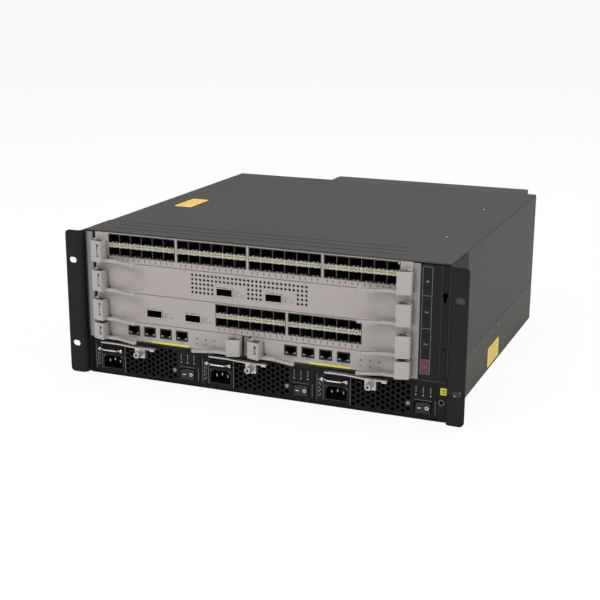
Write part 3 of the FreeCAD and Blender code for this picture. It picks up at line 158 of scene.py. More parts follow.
class Graph:
    """The node tree of a material or of the world."""

    def __init__(self, owner: Union[bpy.types.Material, bpy.types.World]) -> None:
        """Start the owner's node tree afresh.

        Args:
            owner: The material or world that the tree belongs to.
        """
        self.owner = owner
        owner.use_nodes = True
        self.tree = owner.node_tree
        self.tree.nodes.clear()

    def node(self, kind: str, settings: Optional[Dict[str, Any]] = None,
             inputs: Optional[Dict[Union[str, int], Any]] = None) -> bpy.types.Node:
        """Add any node.

        Args:
            kind: The node's Blender type.
            settings: Its properties, set before its sockets.
            inputs: Values or wires, by socket name or number.

        Returns:
            The new node.
        """
        made = self.tree.nodes.new(kind)
        for name, value in (settings or {}).items():
            setattr(made, name, value)
        for name, value in (inputs or {}).items():
            self.feed(made.inputs[name], value)
        return made

    def feed(self, socket: bpy.types.NodeSocket, value: Any) -> None:
        """Link a wire to a socket, or set a plain value on it.

        Args:
            socket: The socket.
            value: The wire or value.
        """
        if isinstance(value, Wire):
            self.tree.links.new(value.socket, socket)
        else:
            socket.default_value = value

    def maths(self, operation: str, *values: Any) -> Wire:
        """Add a Math node.

        Args:
            operation: The node's operation.
            values: Wires and numbers, in the order of its sockets.

        Returns:
            The result.
        """
        made = self.node("ShaderNodeMath", {"operation": operation},
                         dict(enumerate(values)))
        return Wire(self, made.outputs[0])

    def place(self) -> Tuple[Wire, Wire, Wire, Wire]:
        """Read the piece's own coordinates.

        Returns:
            The vector, then X, Y and Z.
        """
        where = self.node("ShaderNodeTexCoord").outputs["Object"]
        parts = self.node("ShaderNodeSeparateXYZ", None, {0: Wire(self, where)})
        return (Wire(self, where), *(Wire(self, out) for out in parts.outputs))

    def stretched(self, where: Wire, scale: Point) -> Wire:
        """Scale a coordinate separately along each axis.

        Args:
            where: The coordinate.
            scale: What X, Y and Z are multiplied by.

        Returns:
            The new coordinate.
        """
        made = self.node("ShaderNodeMapping", None, {"Vector": where, "Scale": scale})
        return Wire(self, made.outputs[0])

    def noise(self, where: Wire, scale: float, detail: float = 2.0,
              roughness: float = 0.5) -> Wire:
        """Add a noise.

        Args:
            where: The coordinate that it follows.
            scale: Grains in a metre.
            detail: How many finer layers it has.
            roughness: How strong each finer layer is.

        Returns:
            Its value, about 0.5 in the middle.
        """
        made = self.node("ShaderNodeTexNoise", None, {
            "Vector": where, "Scale": scale, "Detail": detail, "Roughness": roughness})
        return Wire(self, made.outputs[0])

    def cells(self, where: Wire, scale: float) -> Wire:
        """Add a cell pattern.

        Args:
            where: The coordinate that it follows.
            scale: Cells in a metre.

        Returns:
            The distance to the nearest cell's middle.
        """
        made = self.node("ShaderNodeTexVoronoi", None, {"Vector": where, "Scale": scale})
        return Wire(self, made.outputs["Distance"])

    def mixed(self, factor: Any, first: Any, second: Any) -> Wire:
        """Mix two colours: the first by one less the factor, the second by the factor.

        Args:
            factor: The second colour's share.
            first: The first colour.
            second: The second colour.

        Returns:
            The mixture.
        """
        made = self.node("ShaderNodeMix", {"data_type": "RGBA"}, {
            0: factor, 6: first, 7: second})
        return Wire(self, made.outputs[2])

    def bump(self, height: Wire, distance: float, strength: float = 1.0) -> Wire:
        """Turn a height into a normal.

        Args:
            height: The height, as a share of the distance.
            distance: How deep a height of 1 is, in metres.
            strength: How much of the effect is taken.

        Returns:
            The normal.
        """
        made = self.node("ShaderNodeBump", None, {
            "Height": height, "Distance": distance, "Strength": strength})
        return Wire(self, made.outputs[0])

    def surface(self, **sockets: Any) -> bpy.types.Material:
        """Add the surface shader and finish the material.

        Args:
            sockets: Values or wires by socket name, with spaces written as underscores.

        Returns:
            The finished material.
        """
        shader = self.node("ShaderNodeBsdfPrincipled", None, {
            name.replace("_", " "): value for name, value in sockets.items()})
        self.node("ShaderNodeOutputMaterial", None,
                  {"Surface": Wire(self, shader.outputs[0])})
        return self.owner


@dataclass(frozen=True)
class PowderPaint:
    """Baked powder paint on sheet or cast metal: orange peel, speckle and soft wear.

    A front colour, where there is one, covers what stands before the front edge.
    """

    colour: str
    worn: str
    roughness: float = 0.55
    peel: float = 0.02
    grain: float = 900.0
    front: str = ""
    sheen: float = 0.3

    def make(self, graph: Graph) -> bpy.types.Material:
        """Build the material.

        The wear that mixes in the worn colour is 0.3 plus half of the cloud's swing and 0.35
        of the speck's. The roughness is the plain one plus 0.12 of the cloud's swing, less
        0.08 where scuffs lie. The height is the fine noise plus 0.4 of the speck.

        Args:
            graph: The material's empty node tree.

        Returns:
            The finished material.
        """
        where, _, depth, _ = graph.place()
        fine = graph.noise(where, self.grain, 3.0)
        cloud = graph.noise(where, 14.0, 4.0, 0.6)
        speck = graph.noise(where, 2600.0, 1.0)
        wear = (cloud - 0.5) * 0.5 + (speck - 0.5) * 0.35 + 0.3
        scuff = graph.noise(graph.stretched(where, (9.0, 60.0, 90.0)), 6.0, 5.0, 0.7)
        base = graph.mixed(wear, tint(self.colour), tint(self.worn))
        if self.front:
            base = graph.mixed(depth < FRONT_EDGE, base, tint(self.front))
        return graph.surface(
            Base_Color=base,
            Roughness=self.roughness + (cloud - 0.5) * 0.12 - scuff.ramp(0.62, 0.8) * 0.08,
            Specular_IOR_Level=self.sheen,
            Normal=graph.bump(fine + speck * 0.4, self.peel * MM, 0.6))


@dataclass(frozen=True)
class BrushedMetal:
    """Plated or bare metal with fine scratches along one direction."""

    colour: str
    stretch: Point
    roughness: float = 0.34
    metallic: float = 1.0

    def make(self, graph: Graph) -> bpy.types.Material:
        """Build the material.

        The hair, a noise stretched along the scratches, mixes the colour with one 0.72 as
        bright. The roughness is the plain one plus a quarter of the hair's swing and a
        tenth of the cloud's. The height is the hair.

        Args:
            graph: The material's empty node tree.

        Returns:
            The finished material.
        """
        where, _, _, _ = graph.place()
        hair = graph.noise(graph.stretched(where, self.stretch), 1.0, 4.0, 0.65)
        cloud = graph.noise(where, 30.0, 3.0)
        dark = scaled(tint(self.colour), 0.72)
        return graph.surface(
            Base_Color=graph.mixed(hair.ramp(0.25, 0.8), dark, tint(self.colour)),
            Metallic=self.metallic,
            Roughness=self.roughness + (hair - 0.5) * 0.25 + (cloud - 0.5) * 0.1,
            Normal=graph.bump(hair, 0.02 * MM, 0.5))


@dataclass(frozen=True)
class ZincSheet:
    """Galvanised sheet with its crystal spangle."""

    colour: str = "#8f8e8d"
    shade: str = "#6c6b6a"
    front: str = "#2a2829"

    def make(self, graph: Graph) -> bpy.types.Material:
        """Build the material.

        The tone is 0.9 of the spangle's distance plus 0.4 of the cloud, spread from 0.1 to
        0.9. The sheet is bare unless it is both before the front edge and under the shelf,
        and only bare sheet is metal. The roughness is 0.42 plus a fifth of the spangle.

        Args:
            graph: The material's empty node tree.

        Returns:
            The finished material.
        """
        where, _, depth, height = graph.place()
        spangle = graph.cells(where, 140.0)
        cloud = graph.noise(where, 60.0, 3.0)
        tone = (spangle * 0.9 + cloud * 0.4).ramp(0.1, 0.9)
        bare = 1.0 - (depth < FRONT_EDGE) * (height < SHELF_TOP)
        plain = graph.mixed(tone, tint(self.shade), tint(self.colour))
        return graph.surface(
            Base_Color=graph.mixed(bare, tint(self.front), plain),
            Metallic=0.9 * bare, Roughness=0.42 + spangle * 0.2,
            Normal=graph.bump(cloud, 0.02 * MM, 0.4))


@dataclass(frozen=True)
class CageSteel:
    """Tinned sheet cages, bright at the mouth, with shade painted inside their ports."""

    mouth: float
    colour: str = "#5f5c55"
    # The deep colour is painted shade for the inside of the ports.
    deep: str = "#080808"
    fade: float = 1.2 * MM

    def make(self, graph: Graph) -> bpy.types.Material:
        """Build the material.

        The depth goes from 0 at the mouth to 1 one fade behind it. It mixes the deep colour
        in as painted shade inside the ports, takes 0.55 of itself off a metal share of 0.75
        and adds
        0.3 of itself to the roughness, which is 0.34 plus a fifth of the hair.

        Args:
            graph: The material's empty node tree.

        Returns:
            The finished material.
        """
        where, _, along, _ = graph.place()
        hair = graph.noise(graph.stretched(where, (900.0, 60.0, 900.0)), 1.0, 3.0)
        # Painted shade: from the mouth inwards the colour darkens and loses its metal.
        depth = along.ramp(self.mouth, self.mouth + self.fade)
        return graph.surface(
            Base_Color=graph.mixed(depth, tint(self.colour), tint(self.deep)),
            Metallic=0.75 - 0.55 * depth, Roughness=0.34 + hair * 0.2 + 0.3 * depth,
            Normal=graph.bump(hair, 0.015 * MM, 0.4))


@dataclass(frozen=True)
class MouldedPlastic:
    """Injection moulded plastic with a fine spark eroded grain."""

    colour: str
    roughness: float = 0.42
    grain: float = 1800.0
    depth: float = 0.02

    def make(self, graph: Graph) -> bpy.types.Material:
        """Build the material.

        A lighter colour, 1.35 of the plain one plus 0.004, comes in by 0.7 of what the
        cloud has over 0.2. The roughness is the plain one plus 0.14 of the cloud's swing.

        Args:
            graph: The material's empty node tree.

        Returns:
            The finished material.
        """
        where, _, _, _ = graph.place()
        fine = graph.noise(where, self.grain, 2.0)
        cloud = graph.noise(where, 45.0, 3.0)
        light = scaled(tint(self.colour), 1.35, 0.004)
        return graph.surface(
            Base_Color=graph.mixed((cloud - 0.2) * 0.7, tint(self.colour), light),
            Roughness=self.roughness + (cloud - 0.5) * 0.14,
            Normal=graph.bump(fine, self.depth * MM, 0.5))


@dataclass(frozen=True)
class SolderMask:
    """A circuit board: lacquer over copper runs, with bare vias."""

    colour: str = "#12432a"
    run: str = "#1f6a40"
    via: str = "#b8a66a"

    def make(self, graph: Graph) -> bpy.types.Material:
        """Build the material.

        The copper is 0.7 of a brick pattern plus 0.3 of slanting lanes, a wave of X plus Y.
        The vias are 1 at a cell's middle and 0 beyond 0.16 of a cell. The roughness is 0.35
        plus a fifth of a noise, and the metal 0.6 of the vias.

        Args:
            graph: The material's empty node tree.

        Returns:
            The finished material.
        """
        where, across, along, _ = graph.place()
        blocks = graph.node("ShaderNodeTexBrick", {"offset": 0.37}, {
            "Vector": where, "Scale": 55.0, "Mortar Size": 0.03, "Color1": (1, 1, 1, 1),
            "Color2": (0.7, 0.7, 0.7, 1), "Mortar": (0, 0, 0, 1)})
        runs = Wire(graph, blocks.outputs["Fac"])
        lanes = graph.maths("PINGPONG", (across + along) * 900.0, 1.0).ramp(0.55, 0.7)
        copper = runs * 0.7 + lanes * 0.3
        dots = 1.0 - graph.cells(where, 420.0).ramp(0.1, 0.16)
        base = graph.mixed(copper, tint(self.colour), tint(self.run))
        return graph.surface(
            Base_Color=graph.mixed(dots * 0.8, base, tint(self.via)),
            Roughness=0.35 + 0.2 * graph.noise(where, 200.0),
            Metallic=dots * 0.6, Normal=graph.bump(copper, 0.03 * MM, 0.5))


@dataclass(frozen=True)
class PrintedLabel:
    """Film or paper print: an even colour with a faint fibre and a soft sheen."""

    colour: str
    roughness: float = 0.5

    def make(self, graph: Graph) -> bpy.types.Material:
        """Build the material.

        The cloud, spread from 0.3 to 0.75, mixes the colour with one 0.86 as bright. The
        roughness is the plain one plus a fifth of the fibre's swing. The height is the fibre.

        Args:
            graph: The material's empty node tree.

        Returns:
            The finished material.
        """
        where, _, _, _ = graph.place()
        fibre = graph.noise(where, 1500.0, 3.0)
        cloud = graph.noise(where, 90.0, 2.0)
        dark = scaled(tint(self.colour), 0.86)
        return graph.surface(
            Base_Color=graph.mixed(cloud.ramp(0.3, 0.75), dark, tint(self.colour)),
            Roughness=self.roughness + (fibre - 0.5) * 0.2,
            Normal=graph.bump(fibre, 0.008 * MM, 0.4))


@dataclass(frozen=True)
class LightPipe:
    """A clouded lens over an indicator, unlit."""

    colour: str

    def make(self, graph: Graph) -> bpy.types.Material:
        """Build the material.

        The cloud mixes the colour with one a quarter brighter. The roughness is a fifth plus
        a fifth of the cloud.

        Args:
            graph: The material's empty node tree.

        Returns:
            The finished material.
        """
        where, _, _, _ = graph.place()
        cloud = graph.noise(where, 700.0, 2.0)
        return graph.surface(
            Base_Color=graph.mixed(cloud, tint(self.colour), scaled(tint(self.colour), 1.25)),
            Roughness=0.2 + 0.2 * cloud, Coat_Weight=0.4)


class Finish(Enum):
    """Every finish on the object; the first group is named after the record's slots."""

    chassis_paint = PowderPaint("#44433f", "#504f4b", 0.6, front="#201e1f", sheen=0.16)
    cover_paint = PowderPaint("#3e3c3c", "#4b4949", 0.6, sheen=0.16)
    ear_paint = PowderPaint("#1d1b1c", "#292728", 0.6, sheen=0.12)
    dark_panel = PowderPaint("#1d1b1c", "#272526", 0.58, sheen=0.12)
    power_paint = PowderPaint("#181617", "#222021", 0.6, sheen=0.12)
    tray_paint = PowderPaint("#403f3c", "#4c4b48", sheen=0.16)
    card_face = PowderPaint("#a39b98", "#b0a9a5", 0.45, 0.012)
    cast_ejector = PowderPaint("#a09b97", "#b7b3af", 0.42, 0.015)
    zinc_sheet = ZincSheet()
    backplane_board = SolderMask("#0e3527", "#195a3a")
    circuit_board = SolderMask()
    bright_rail = BrushedMetal("#9b9999", (700.0, 700.0, 18.0), 0.45, 0.7)
    nickel = BrushedMetal("#d2d0cb", (300.0, 900.0, 300.0), 0.25)
    dark_nickel = BrushedMetal("#5c5b59", (300.0, 900.0, 300.0), 0.4)
    cage_steel = CageSteel(CARD_FACE)
    lever_steel = BrushedMetal("#cbc8c5", (30.0, 700.0, 700.0), 0.36, 0.85)
    jack_plastic = MouldedPlastic("#0e0e10", 0.5)
    inlet_plastic = MouldedPlastic("#0a0a0b", 0.4)
    rocker_plastic = MouldedPlastic("#0c0c0d", 0.3)
    fan_plastic = MouldedPlastic("#161617")
    rotor_plastic = MouldedPlastic("#1d1d1f", 0.35)
    # finishes of the pieces added here
    strip_cream = PrintedLabel("#b5b09a", 0.45)
    strip_hole = MouldedPlastic("#141410", 0.6)
    yellow_sticker = PrintedLabel("#f8d05f")
    yellow_band = PrintedLabel("#e6da2a", 0.4)
    square_sticker = PrintedLabel("#e6e33a", 0.4)
    red_label = PrintedLabel("#59212c", 0.4)
    grey_print = PrintedLabel("#8a8887")
    # Dark print, also used as painted shade in the gasket gaps of the control cards.
    dark_print = PrintedLabel("#3a3738")
    pale_print = PrintedLabel("#c9c7c5")
    white_print = PrintedLabel("#eeeeec", 0.4)
    # Black parts, and black marks that stand in as painted shade in recesses, gaps and on the
    # ejectors.
    black_insert = MouldedPlastic("#161516", 0.35)
    rivet_steel = BrushedMetal("#7c7b78", (500.0, 500.0, 500.0), 0.45)
    indicator = LightPipe("#3b3f3a")
    clear_light = LightPipe("#f2f3f0")
    # Painted shade laid over the top of each ejector block.
    brown_shade = MouldedPlastic("#4e4a48", 0.5)
    cage_lip = BrushedMetal("#6e6b64", (300.0, 300.0, 60.0), 0.5, 0.5)
    chip_resin = MouldedPlastic("#1c1c1e", 0.5)
    gold_pin = BrushedMetal("#d2a93e", (400.0, 400.0, 400.0), 0.3)

    def material(self) -> bpy.types.Material:
        """Give this finish's material, made once.

        Returns:
            The material.
        """
        name = "finish_" + self.name
        found = bpy.data.materials.get(name)
        return found or self.value.make(Graph(bpy.data.materials.new(name)))


# ----------------------------------------------------------------------------------------
# Mesh building
# ----------------------------------------------------------------------------------------
def put(name: str, mesh: bpy.types.Mesh, body: str, node: str = "") -> None:
    """Make a piece of a mesh, let it ride on its body and report it.

    Args:
        name: The piece's name.
        mesh: Its mesh.
        body: The CAD body it moves with.
        node: The CAD node that it stands for, if any.
    """
    made = bpy.data.objects.new(name, mesh)
    bpy.context.scene.collection.objects.link(made)
    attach(made, body)
    if node:
        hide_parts(node)
    log.info("%s rides on %s", name, body)


def tube_faces(rings: int, sides: int) -> Tuple[np.ndarray, np.ndarray]:
    """Give the faces of a tube whose points go ring by ring.

    Args:
        rings: How many rings there are.
        sides: How many points each ring has.

    Returns:
        The faces of the side, and the two ends.
    """
    step, first = np.arange(sides), np.arange(rings - 1)[:, None] * sides
    now, after = first + step, first + (step + 1) % sides
    side = np.stack([now, after, after + sides, now + sides], axis=-1).reshape(-1, 4)
    return side, np.stack([step[::-1], (rings - 1) * sides + step])


class Forms:
    """Collects boxes, turned forms and extrusions as arrays, then makes one mesh piece."""

    BOX_FACES = np.array([(0, 2, 3, 1), (4, 5, 7, 6), (0, 1, 5, 4), (2, 6, 7, 3),
                          (0, 4, 6, 2), (1, 3, 7, 5)])

    def __init__(self, *finishes: Finish) -> None:
        """Start empty.

        Args:
            finishes: The finishes that the slots number, from 0.
        """
        self.finishes = finishes
        self.points: List[np.ndarray] = []
        self.faces: List[List[int]] = []
        self.slots: List[int] = []
        self.smooth: List[bool] = []
        self.count = 0

    def keep(self, points: np.ndarray, faces: Iterable[Sequence[int]], slot: int = 0,
             smooth: bool = False) -> None:
        """Add points and faces.

        Args:
            points: Rows of X, Y and Z.
            faces: Corners of each face, which number the new points from 0.
            slot: Which of the finishes the faces take.
            smooth: Whether they are shaded as round.
        """
        faces = [[int(corner) + self.count for corner in face] for face in faces]
        self.points.append(points)
        self.faces += faces
        self.slots += [slot] * len(faces)
        self.smooth += [smooth] * len(faces)
        self.count += len(points)

    def boxes(self, low: Sequence[Point], high: Sequence[Point], slot: int = 0,
              bevel: float = 0.0) -> None:
        """Add boxes with bevelled edges.

        Args:
            low: Lowest corner of each box.
            high: Highest corner of each box.
            slot: Which of the finishes they take.
            bevel: Width of the edge bevel, or 0 for sharp edges on tiny marks.
        """
        low, high = np.atleast_2d(low).astype(float), np.atleast_2d(high).astype(float)
        pick = np.array([[(n >> axis) & 1 for axis in range(3)] for n in range(8)])
        if bevel <= 0.0:
            points = np.where(pick[None], high[:, None], low[:, None]).reshape(-1, 3)
            faces = (self.BOX_FACES[None] + 8 * np.arange(len(low))[:, None, None])
            self.keep(points, faces.reshape(-1, 4), slot)
            return
        for one, two in zip(low, high):
            self._bevelled(one, two, slot, bevel, pick)

    def _bevelled(self, low: np.ndarray, high: np.ndarray, slot: int, bevel: float,
                  pick: np.ndarray) -> None:
        """Add one box whose every edge has a flat bevel and every corner a triangle.

        Args:
            low: Lowest corner.
            high: Highest corner.
            slot: Which of the finishes it takes.
            bevel: Width of the bevel.
            pick: Which end of X, Y and Z each of the eight corners lies at.
        """
        corner = np.where(pick, high, low)
        inward = np.where(pick, -bevel, bevel)
        points = np.repeat(corner, 3, axis=0)
        for axis in range(3):
            others = [a for a in range(3) if a != axis]
            points[axis::3][:, others] += inward[:, others]
        faces: List[List[int]] = []
        for axis, face_ids in ((2, (0, 1)), (1, (2, 3)), (0, (4, 5))):
            for face_id in face_ids:
                faces.append([3 * c + axis for c in self.BOX_FACES[face_id]])
        middle = (low + high) / 2
        for c in range(8):
            faces.append([3 * c, 3 * c + 1, 3 * c + 2])
        for c in range(8):
            for axis in range(3):
                other = c | (1 << axis)
                if other != c:
                    a, b = [k for k in range(3) if k != axis]
                    faces.append([3 * c + a, 3 * other + a, 3 * other + b, 3 * c + b])
        turned = []
        for face in faces:
            spots = points[face]
            normal = np.cross(spots[1] - spots[0], spots[2] - spots[0])
            outward = spots.mean(axis=0) - middle
            turned.append(face if normal @ outward > 0 else face[::-1])
        self.keep(points, turned, slot)

    def turned(self, profile: Sequence[Tuple[float, float]], centres: Sequence[Point],
               axis: Point, sides: int = 16, slot: int = 0, smooth: bool = True,
               teeth: float = 0.0) -> None:
        """Add forms of revolution, closed at both ends.

        Args:
            profile: Distance along the axis and radius, from the far end to the near end.
            centres: Where each form's own origin lies.
            axis: The direction that the profile runs along.
            sides: Facets round the form.
            slot: Which of the finishes they take.
            smooth: Whether the sides are shaded as round.
            teeth: Share of the radius that every second side steps in, for knurling.
        """
        along = np.array(axis, float)
        along /= np.linalg.norm(along)
        aside = np.cross(along, (0.0, 0.0, 1.0) if abs(along[2]) < 0.9 else (1.0, 0.0, 0.0))
        aside /= np.linalg.norm(aside)
        third = np.cross(along, aside)
        angle = np.linspace(0.0, 2.0 * np.pi, sides, endpoint=False)
        ring = np.outer(np.cos(angle), aside) + np.outer(np.sin(angle), third)
        rows = np.array(profile, float)
        widest = rows[:, 1].max()
        step = np.where(np.arange(sides) % 2 == 0, 1.0, 1.0 - teeth)
        reach = np.where((rows[:, 1] > 0.97 * widest)[:, None], rows[:, 1:2] * step[None],
                         rows[:, 1:2] * np.ones(sides)[None])
        form = (rows[:, 0, None, None] * along + reach[:, :, None] * ring[None])
        form = form.reshape(-1, 3)
        side, ends = tube_faces(len(rows), sides)
        for centre in np.atleast_2d(centres):
            self.keep(form + centre, side, slot, smooth)
            # the flat ends add no points, so they number back from the last ones
            self.keep(np.zeros((0, 3)), ends - len(form), slot)

    def plates(self, outline: Sequence[Tuple[float, float]], normal: str, low: float,
               high: float, slot: int = 0) -> None:
        """Add one extruded outline.

        Args:
            outline: Corners in the plane's two axes, in order round it.
            normal: The axis it is extruded along: "x", "y" or "z".
            low: Where the extrusion starts.
            high: Where it ends.
            slot: Which of the finishes it takes.
        """
        flat = np.array(outline, float)
        axis = "xyz".index(normal)
        others = [a for a in range(3) if a != axis]
        points = np.zeros((2 * len(flat), 3))
        points[:, others] = np.vstack([flat, flat])
        points[:len(flat), axis] = low
        points[len(flat):, axis] = high
        count = len(flat)
        near, far = list(range(count)), [count + n for n in range(count)]
        area = np.sum(flat[:, 0] * np.roll(flat[:, 1], -1)
                      - np.roll(flat[:, 0], -1) * flat[:, 1])
        flip = (area > 0) == (normal != "y")
        sides = [[n, (n + 1) % count, count + (n + 1) % count, count + n]
                 for n in range(count)]
        faces = ([near[::-1], far] + sides) if flip else (
            [near, far[::-1]] + [side[::-1] for side in sides])
        self.keep(points, faces, slot)

    def piece(self, name: str, body: str, slot: str, node: str = "") -> None:
        """Make the mesh piece.

        Args:
            name: The piece's name.
            body: The CAD body it moves with.
            slot: The record's material slot that it belongs to; not used.
            node: The CAD node that it stands for, if any.
        """
        mesh = bpy.data.meshes.new(name)
        mesh.from_pydata(np.vstack(self.points).tolist(), [], self.faces)
        for finish in self.finishes:
            mesh.materials.append(finish.material())
        mesh.polygons.foreach_set("material_index", self.slots)
        mesh.polygons.foreach_set("use_smooth", self.smooth)
        mesh.update()
        put(name, mesh, body, node)


def merged_copy(node: str) -> bmesh.types.BMesh:
    """Copy a CAD node's mesh with its loose triangles joined into flat faces.

    Args:
        node: The CAD node, which is left as it is.

    Returns:
        The copy.
    """
    shape = bmesh.new()
    shape.from_mesh(frame["nodes"][node].data)
    bmesh.ops.remove_doubles(shape, verts=shape.verts[:], dist=1e-6)
    bmesh.ops.dissolve_limit(shape, angle_limit=math.radians(1.0), verts=shape.verts[:],
                             edges=shape.edges[:])
    return shape


def softened(node: str, width: float, finish: Finish, name: str) -> None:
    """Replace a CAD node by a copy whose sharp edges are rounded over.

    Args:
        node: The CAD node, which is also the body that the copy rides on.
        width: How far the rounding reaches from each edge.
        finish: What the copy is made of, which is also its material slot.
        name: The new piece's name.
    """
    shape = merged_copy(node)
    sharp = [edge for edge in shape.edges
             if edge.is_manifold and edge.calc_face_angle(0.0) > math.radians(35.0)]
    bmesh.ops.bevel(shape, geom=sharp, offset=width, offset_type="OFFSET", segments=2,
                    profile=0.5, affect="EDGES", clamp_overlap=True)
    bmesh.ops.triangulate(shape, faces=[face for face in shape.faces
                                        if len(face.verts) > 4])
    mesh = bpy.data.meshes.new(name)
    shape.to_mesh(mesh)
    shape.free()
    mesh.materials.clear()
    mesh.materials.append(finish.material())
    mesh.polygons.foreach_set("material_index", [0] * len(mesh.polygons))
    put(name, mesh, node, node)


def opened(node: str, low: Point, high: Point) -> Shape:
    """Give a CAD node's points and faces with a box cut out of it.

    Args:
        node: The CAD node, which is left as it is.
        low: Lowest corner of the box.
        high: Highest corner of the box.

    Returns:
        Points and faces.
    """
    shape = merged_copy(node)
    bmesh.ops.triangulate(shape, faces=shape.faces[:])
    mesh = bpy.data.meshes.new("opened")
    shape.to_mesh(mesh)
    shape.free()
    block = Forms()
    block.boxes([low], [high])
    tool_mesh = bpy.data.meshes.new("opening")
    tool_mesh.from_pydata(np.vstack(block.points).tolist(), [], block.faces)
    holders = [bpy.data.objects.new(data.name, data) for data in (mesh, tool_mesh)]
    for holder in holders:
        bpy.context.scene.collection.objects.link(holder)
    cut = holders[0].modifiers.new("opening", "BOOLEAN")
    cut.operation, cut.solver, cut.object = "DIFFERENCE", "EXACT", holders[1]
    result = bpy.data.meshes.new_from_object(
        holders[0].evaluated_get(bpy.context.evaluated_depsgraph_get()))
    spots = np.zeros(3 * len(result.vertices))
    result.vertices.foreach_get("co", spots)
    faces = [list(face.vertices) for face in result.polygons]
    for holder in holders:
        bpy.data.objects.remove(holder)
    for data in (mesh, tool_mesh, result):
        bpy.data.meshes.remove(data)
    return spots.reshape(-1, 3), faces


def pierced_sheet(left: float, right: float, low: float, high: float,
                  holes: Sequence[np.ndarray], front: float, back: float) -> Shape:
    """Work out an upright sheet with holes: its outline less the holes, given a thickness.

    Args:
        left: Its left edge.
        right: Its right edge.
        low: Its lower edge.
        high: Its upper edge.
        holes: Corners of each hole, in X and Z, anticlockwise seen from the front.
        front: Y of its front.
        back: Y of its back.

    Returns:
        Points and faces.
    """
    outline = np.array([(left, low), (right, low), (right, high), (left, high)])
    loops, spots = [], []
    for corners in (outline, *holes):
        first = sum(len(kept) for kept in spots)
        loops.append(list(range(first, first + len(corners))))
        spots.append(corners)
    flat = [Vector(spot) for spot in np.vstack(spots)]
    points, _, faces, _, _, origins = delaunay_2d_cdt(flat, [], loops, 1, 1e-9)
    solid = [list(face) for face, origin in zip(faces, origins)
             if set(origin) == {0}]
    count = len(points)
    plan = np.array([tuple(point) for point in points])
    rows = np.zeros((2 * count, 3))
    rows[:, 0::2] = np.vstack([plan, plan])
    rows[:count, 1], rows[count:, 1] = front, back
    turned = []
    for face in solid:
        a, b, c = plan[face[0]], plan[face[1]], plan[face[2]]
        turns_left = (b[0] - a[0]) * (c[1] - a[1]) - (b[1] - a[1]) * (c[0] - a[0]) > 0
        turned.append(face if turns_left else face[::-1])
    sides = {(face[n], face[(n + 1) % len(face)]) for face in turned
             for n in range(len(face))}
    rims = [(a, b) for a, b in sides if (b, a) not in sides]
    result = turned + [[corner + count for corner in face[::-1]] for face in turned]
    result += [[b, a, a + count, b + count] for a, b in sorted(rims)]
    return rows, result


def rounded(left: float, right: float, low: float, high: float, radius: float,
            steps: int = 4) -> List[Span]:
    """Give the outline of a rectangle with round corners.

    Args:
        left: Lowest first coordinate.
        right: Highest first coordinate.
        low: Lowest second coordinate.
        high: Highest second coordinate.
        radius: Radius of the corners.
        steps: Steps in each corner.

    Returns:
        Its points, in order round it.
    """
    corners = ((right - radius, low + radius, -90.0), (right - radius, high - radius, 0.0),
               (left + radius, high - radius, 90.0), (left + radius, low + radius, 180.0))
    points = []
    for x, y, start in corners:
        for step in range(steps + 1):
            angle = math.radians(start + 90.0 * step / steps)
            points.append((x + radius * math.cos(angle), y + radius * math.sin(angle)))
    return points


def pan_head(radius: float, height: float) -> List[Span]:
    """Give the profile of a domed screw or rivet head, from its seat to its crown.

    Args:
        radius: Radius of the seat.
        height: Height of the crown.

    Returns:
        Heights and radii.
    """
    shares = ((0.0, 1.0), (0.35, 1.0), (0.75, 0.82), (1.0, 0.45), (1.05, 0.12))
    return [(up * height, out * radius) for up, out in shares]


def knurled(radius: float, long: float, foot: float, *crown: Span) -> List[Span]:
    """Give the profile of a knurled head.

    Args:
        radius: Radius over the knurls.
        long: Length of the head.
        foot: Radius of the seat, as a share of the knurls' radius.
        crown: Where the outer end narrows, as shares of the length and radius.

    Returns:
        Distances along the head and radii.
    """
    shares = ((0.0, foot), (0.08, 0.98), (0.1, 1.0), (0.86, 1.0), (0.88, 0.98), *crown)
    return [(along * long, out * radius) for along, out in shares]


def numeral(text: str, size: float, turn: float, place: Matrix) -> np.ndarray:
    """Give the triangles of a plain numeral as corner points.

    Args:
        text: The digits.
        size: Height of the type.
        turn: Turn in its own plane, in degrees.
        place: Where the type's plane lies.

    Returns:
        Corner points, three for each triangle.
    """
    curve = bpy.data.curves.new("numeral", "FONT")
    curve.body, curve.size = text, size
    curve.align_x = curve.align_y = "CENTER"
    holder = bpy.data.objects.new("numeral", curve)
    mesh = bpy.data.meshes.new_from_object(holder)
    mesh.calc_loop_triangles()
    ids = np.zeros(3 * len(mesh.loop_triangles), int)
    mesh.loop_triangles.foreach_get("vertices", ids)
    spots = np.zeros(3 * len(mesh.vertices))
    mesh.vertices.foreach_get("co", spots)
    spots = spots.reshape(-1, 3)
    bpy.data.objects.remove(holder)
    bpy.data.curves.remove(curve)
    bpy.data.meshes.remove(mesh)
    whole = np.array(place @ Matrix.Rotation(math.radians(turn), 4, "Z"))
    return (spots @ whole[:3, :3].T + whole[:3, 3])[ids]


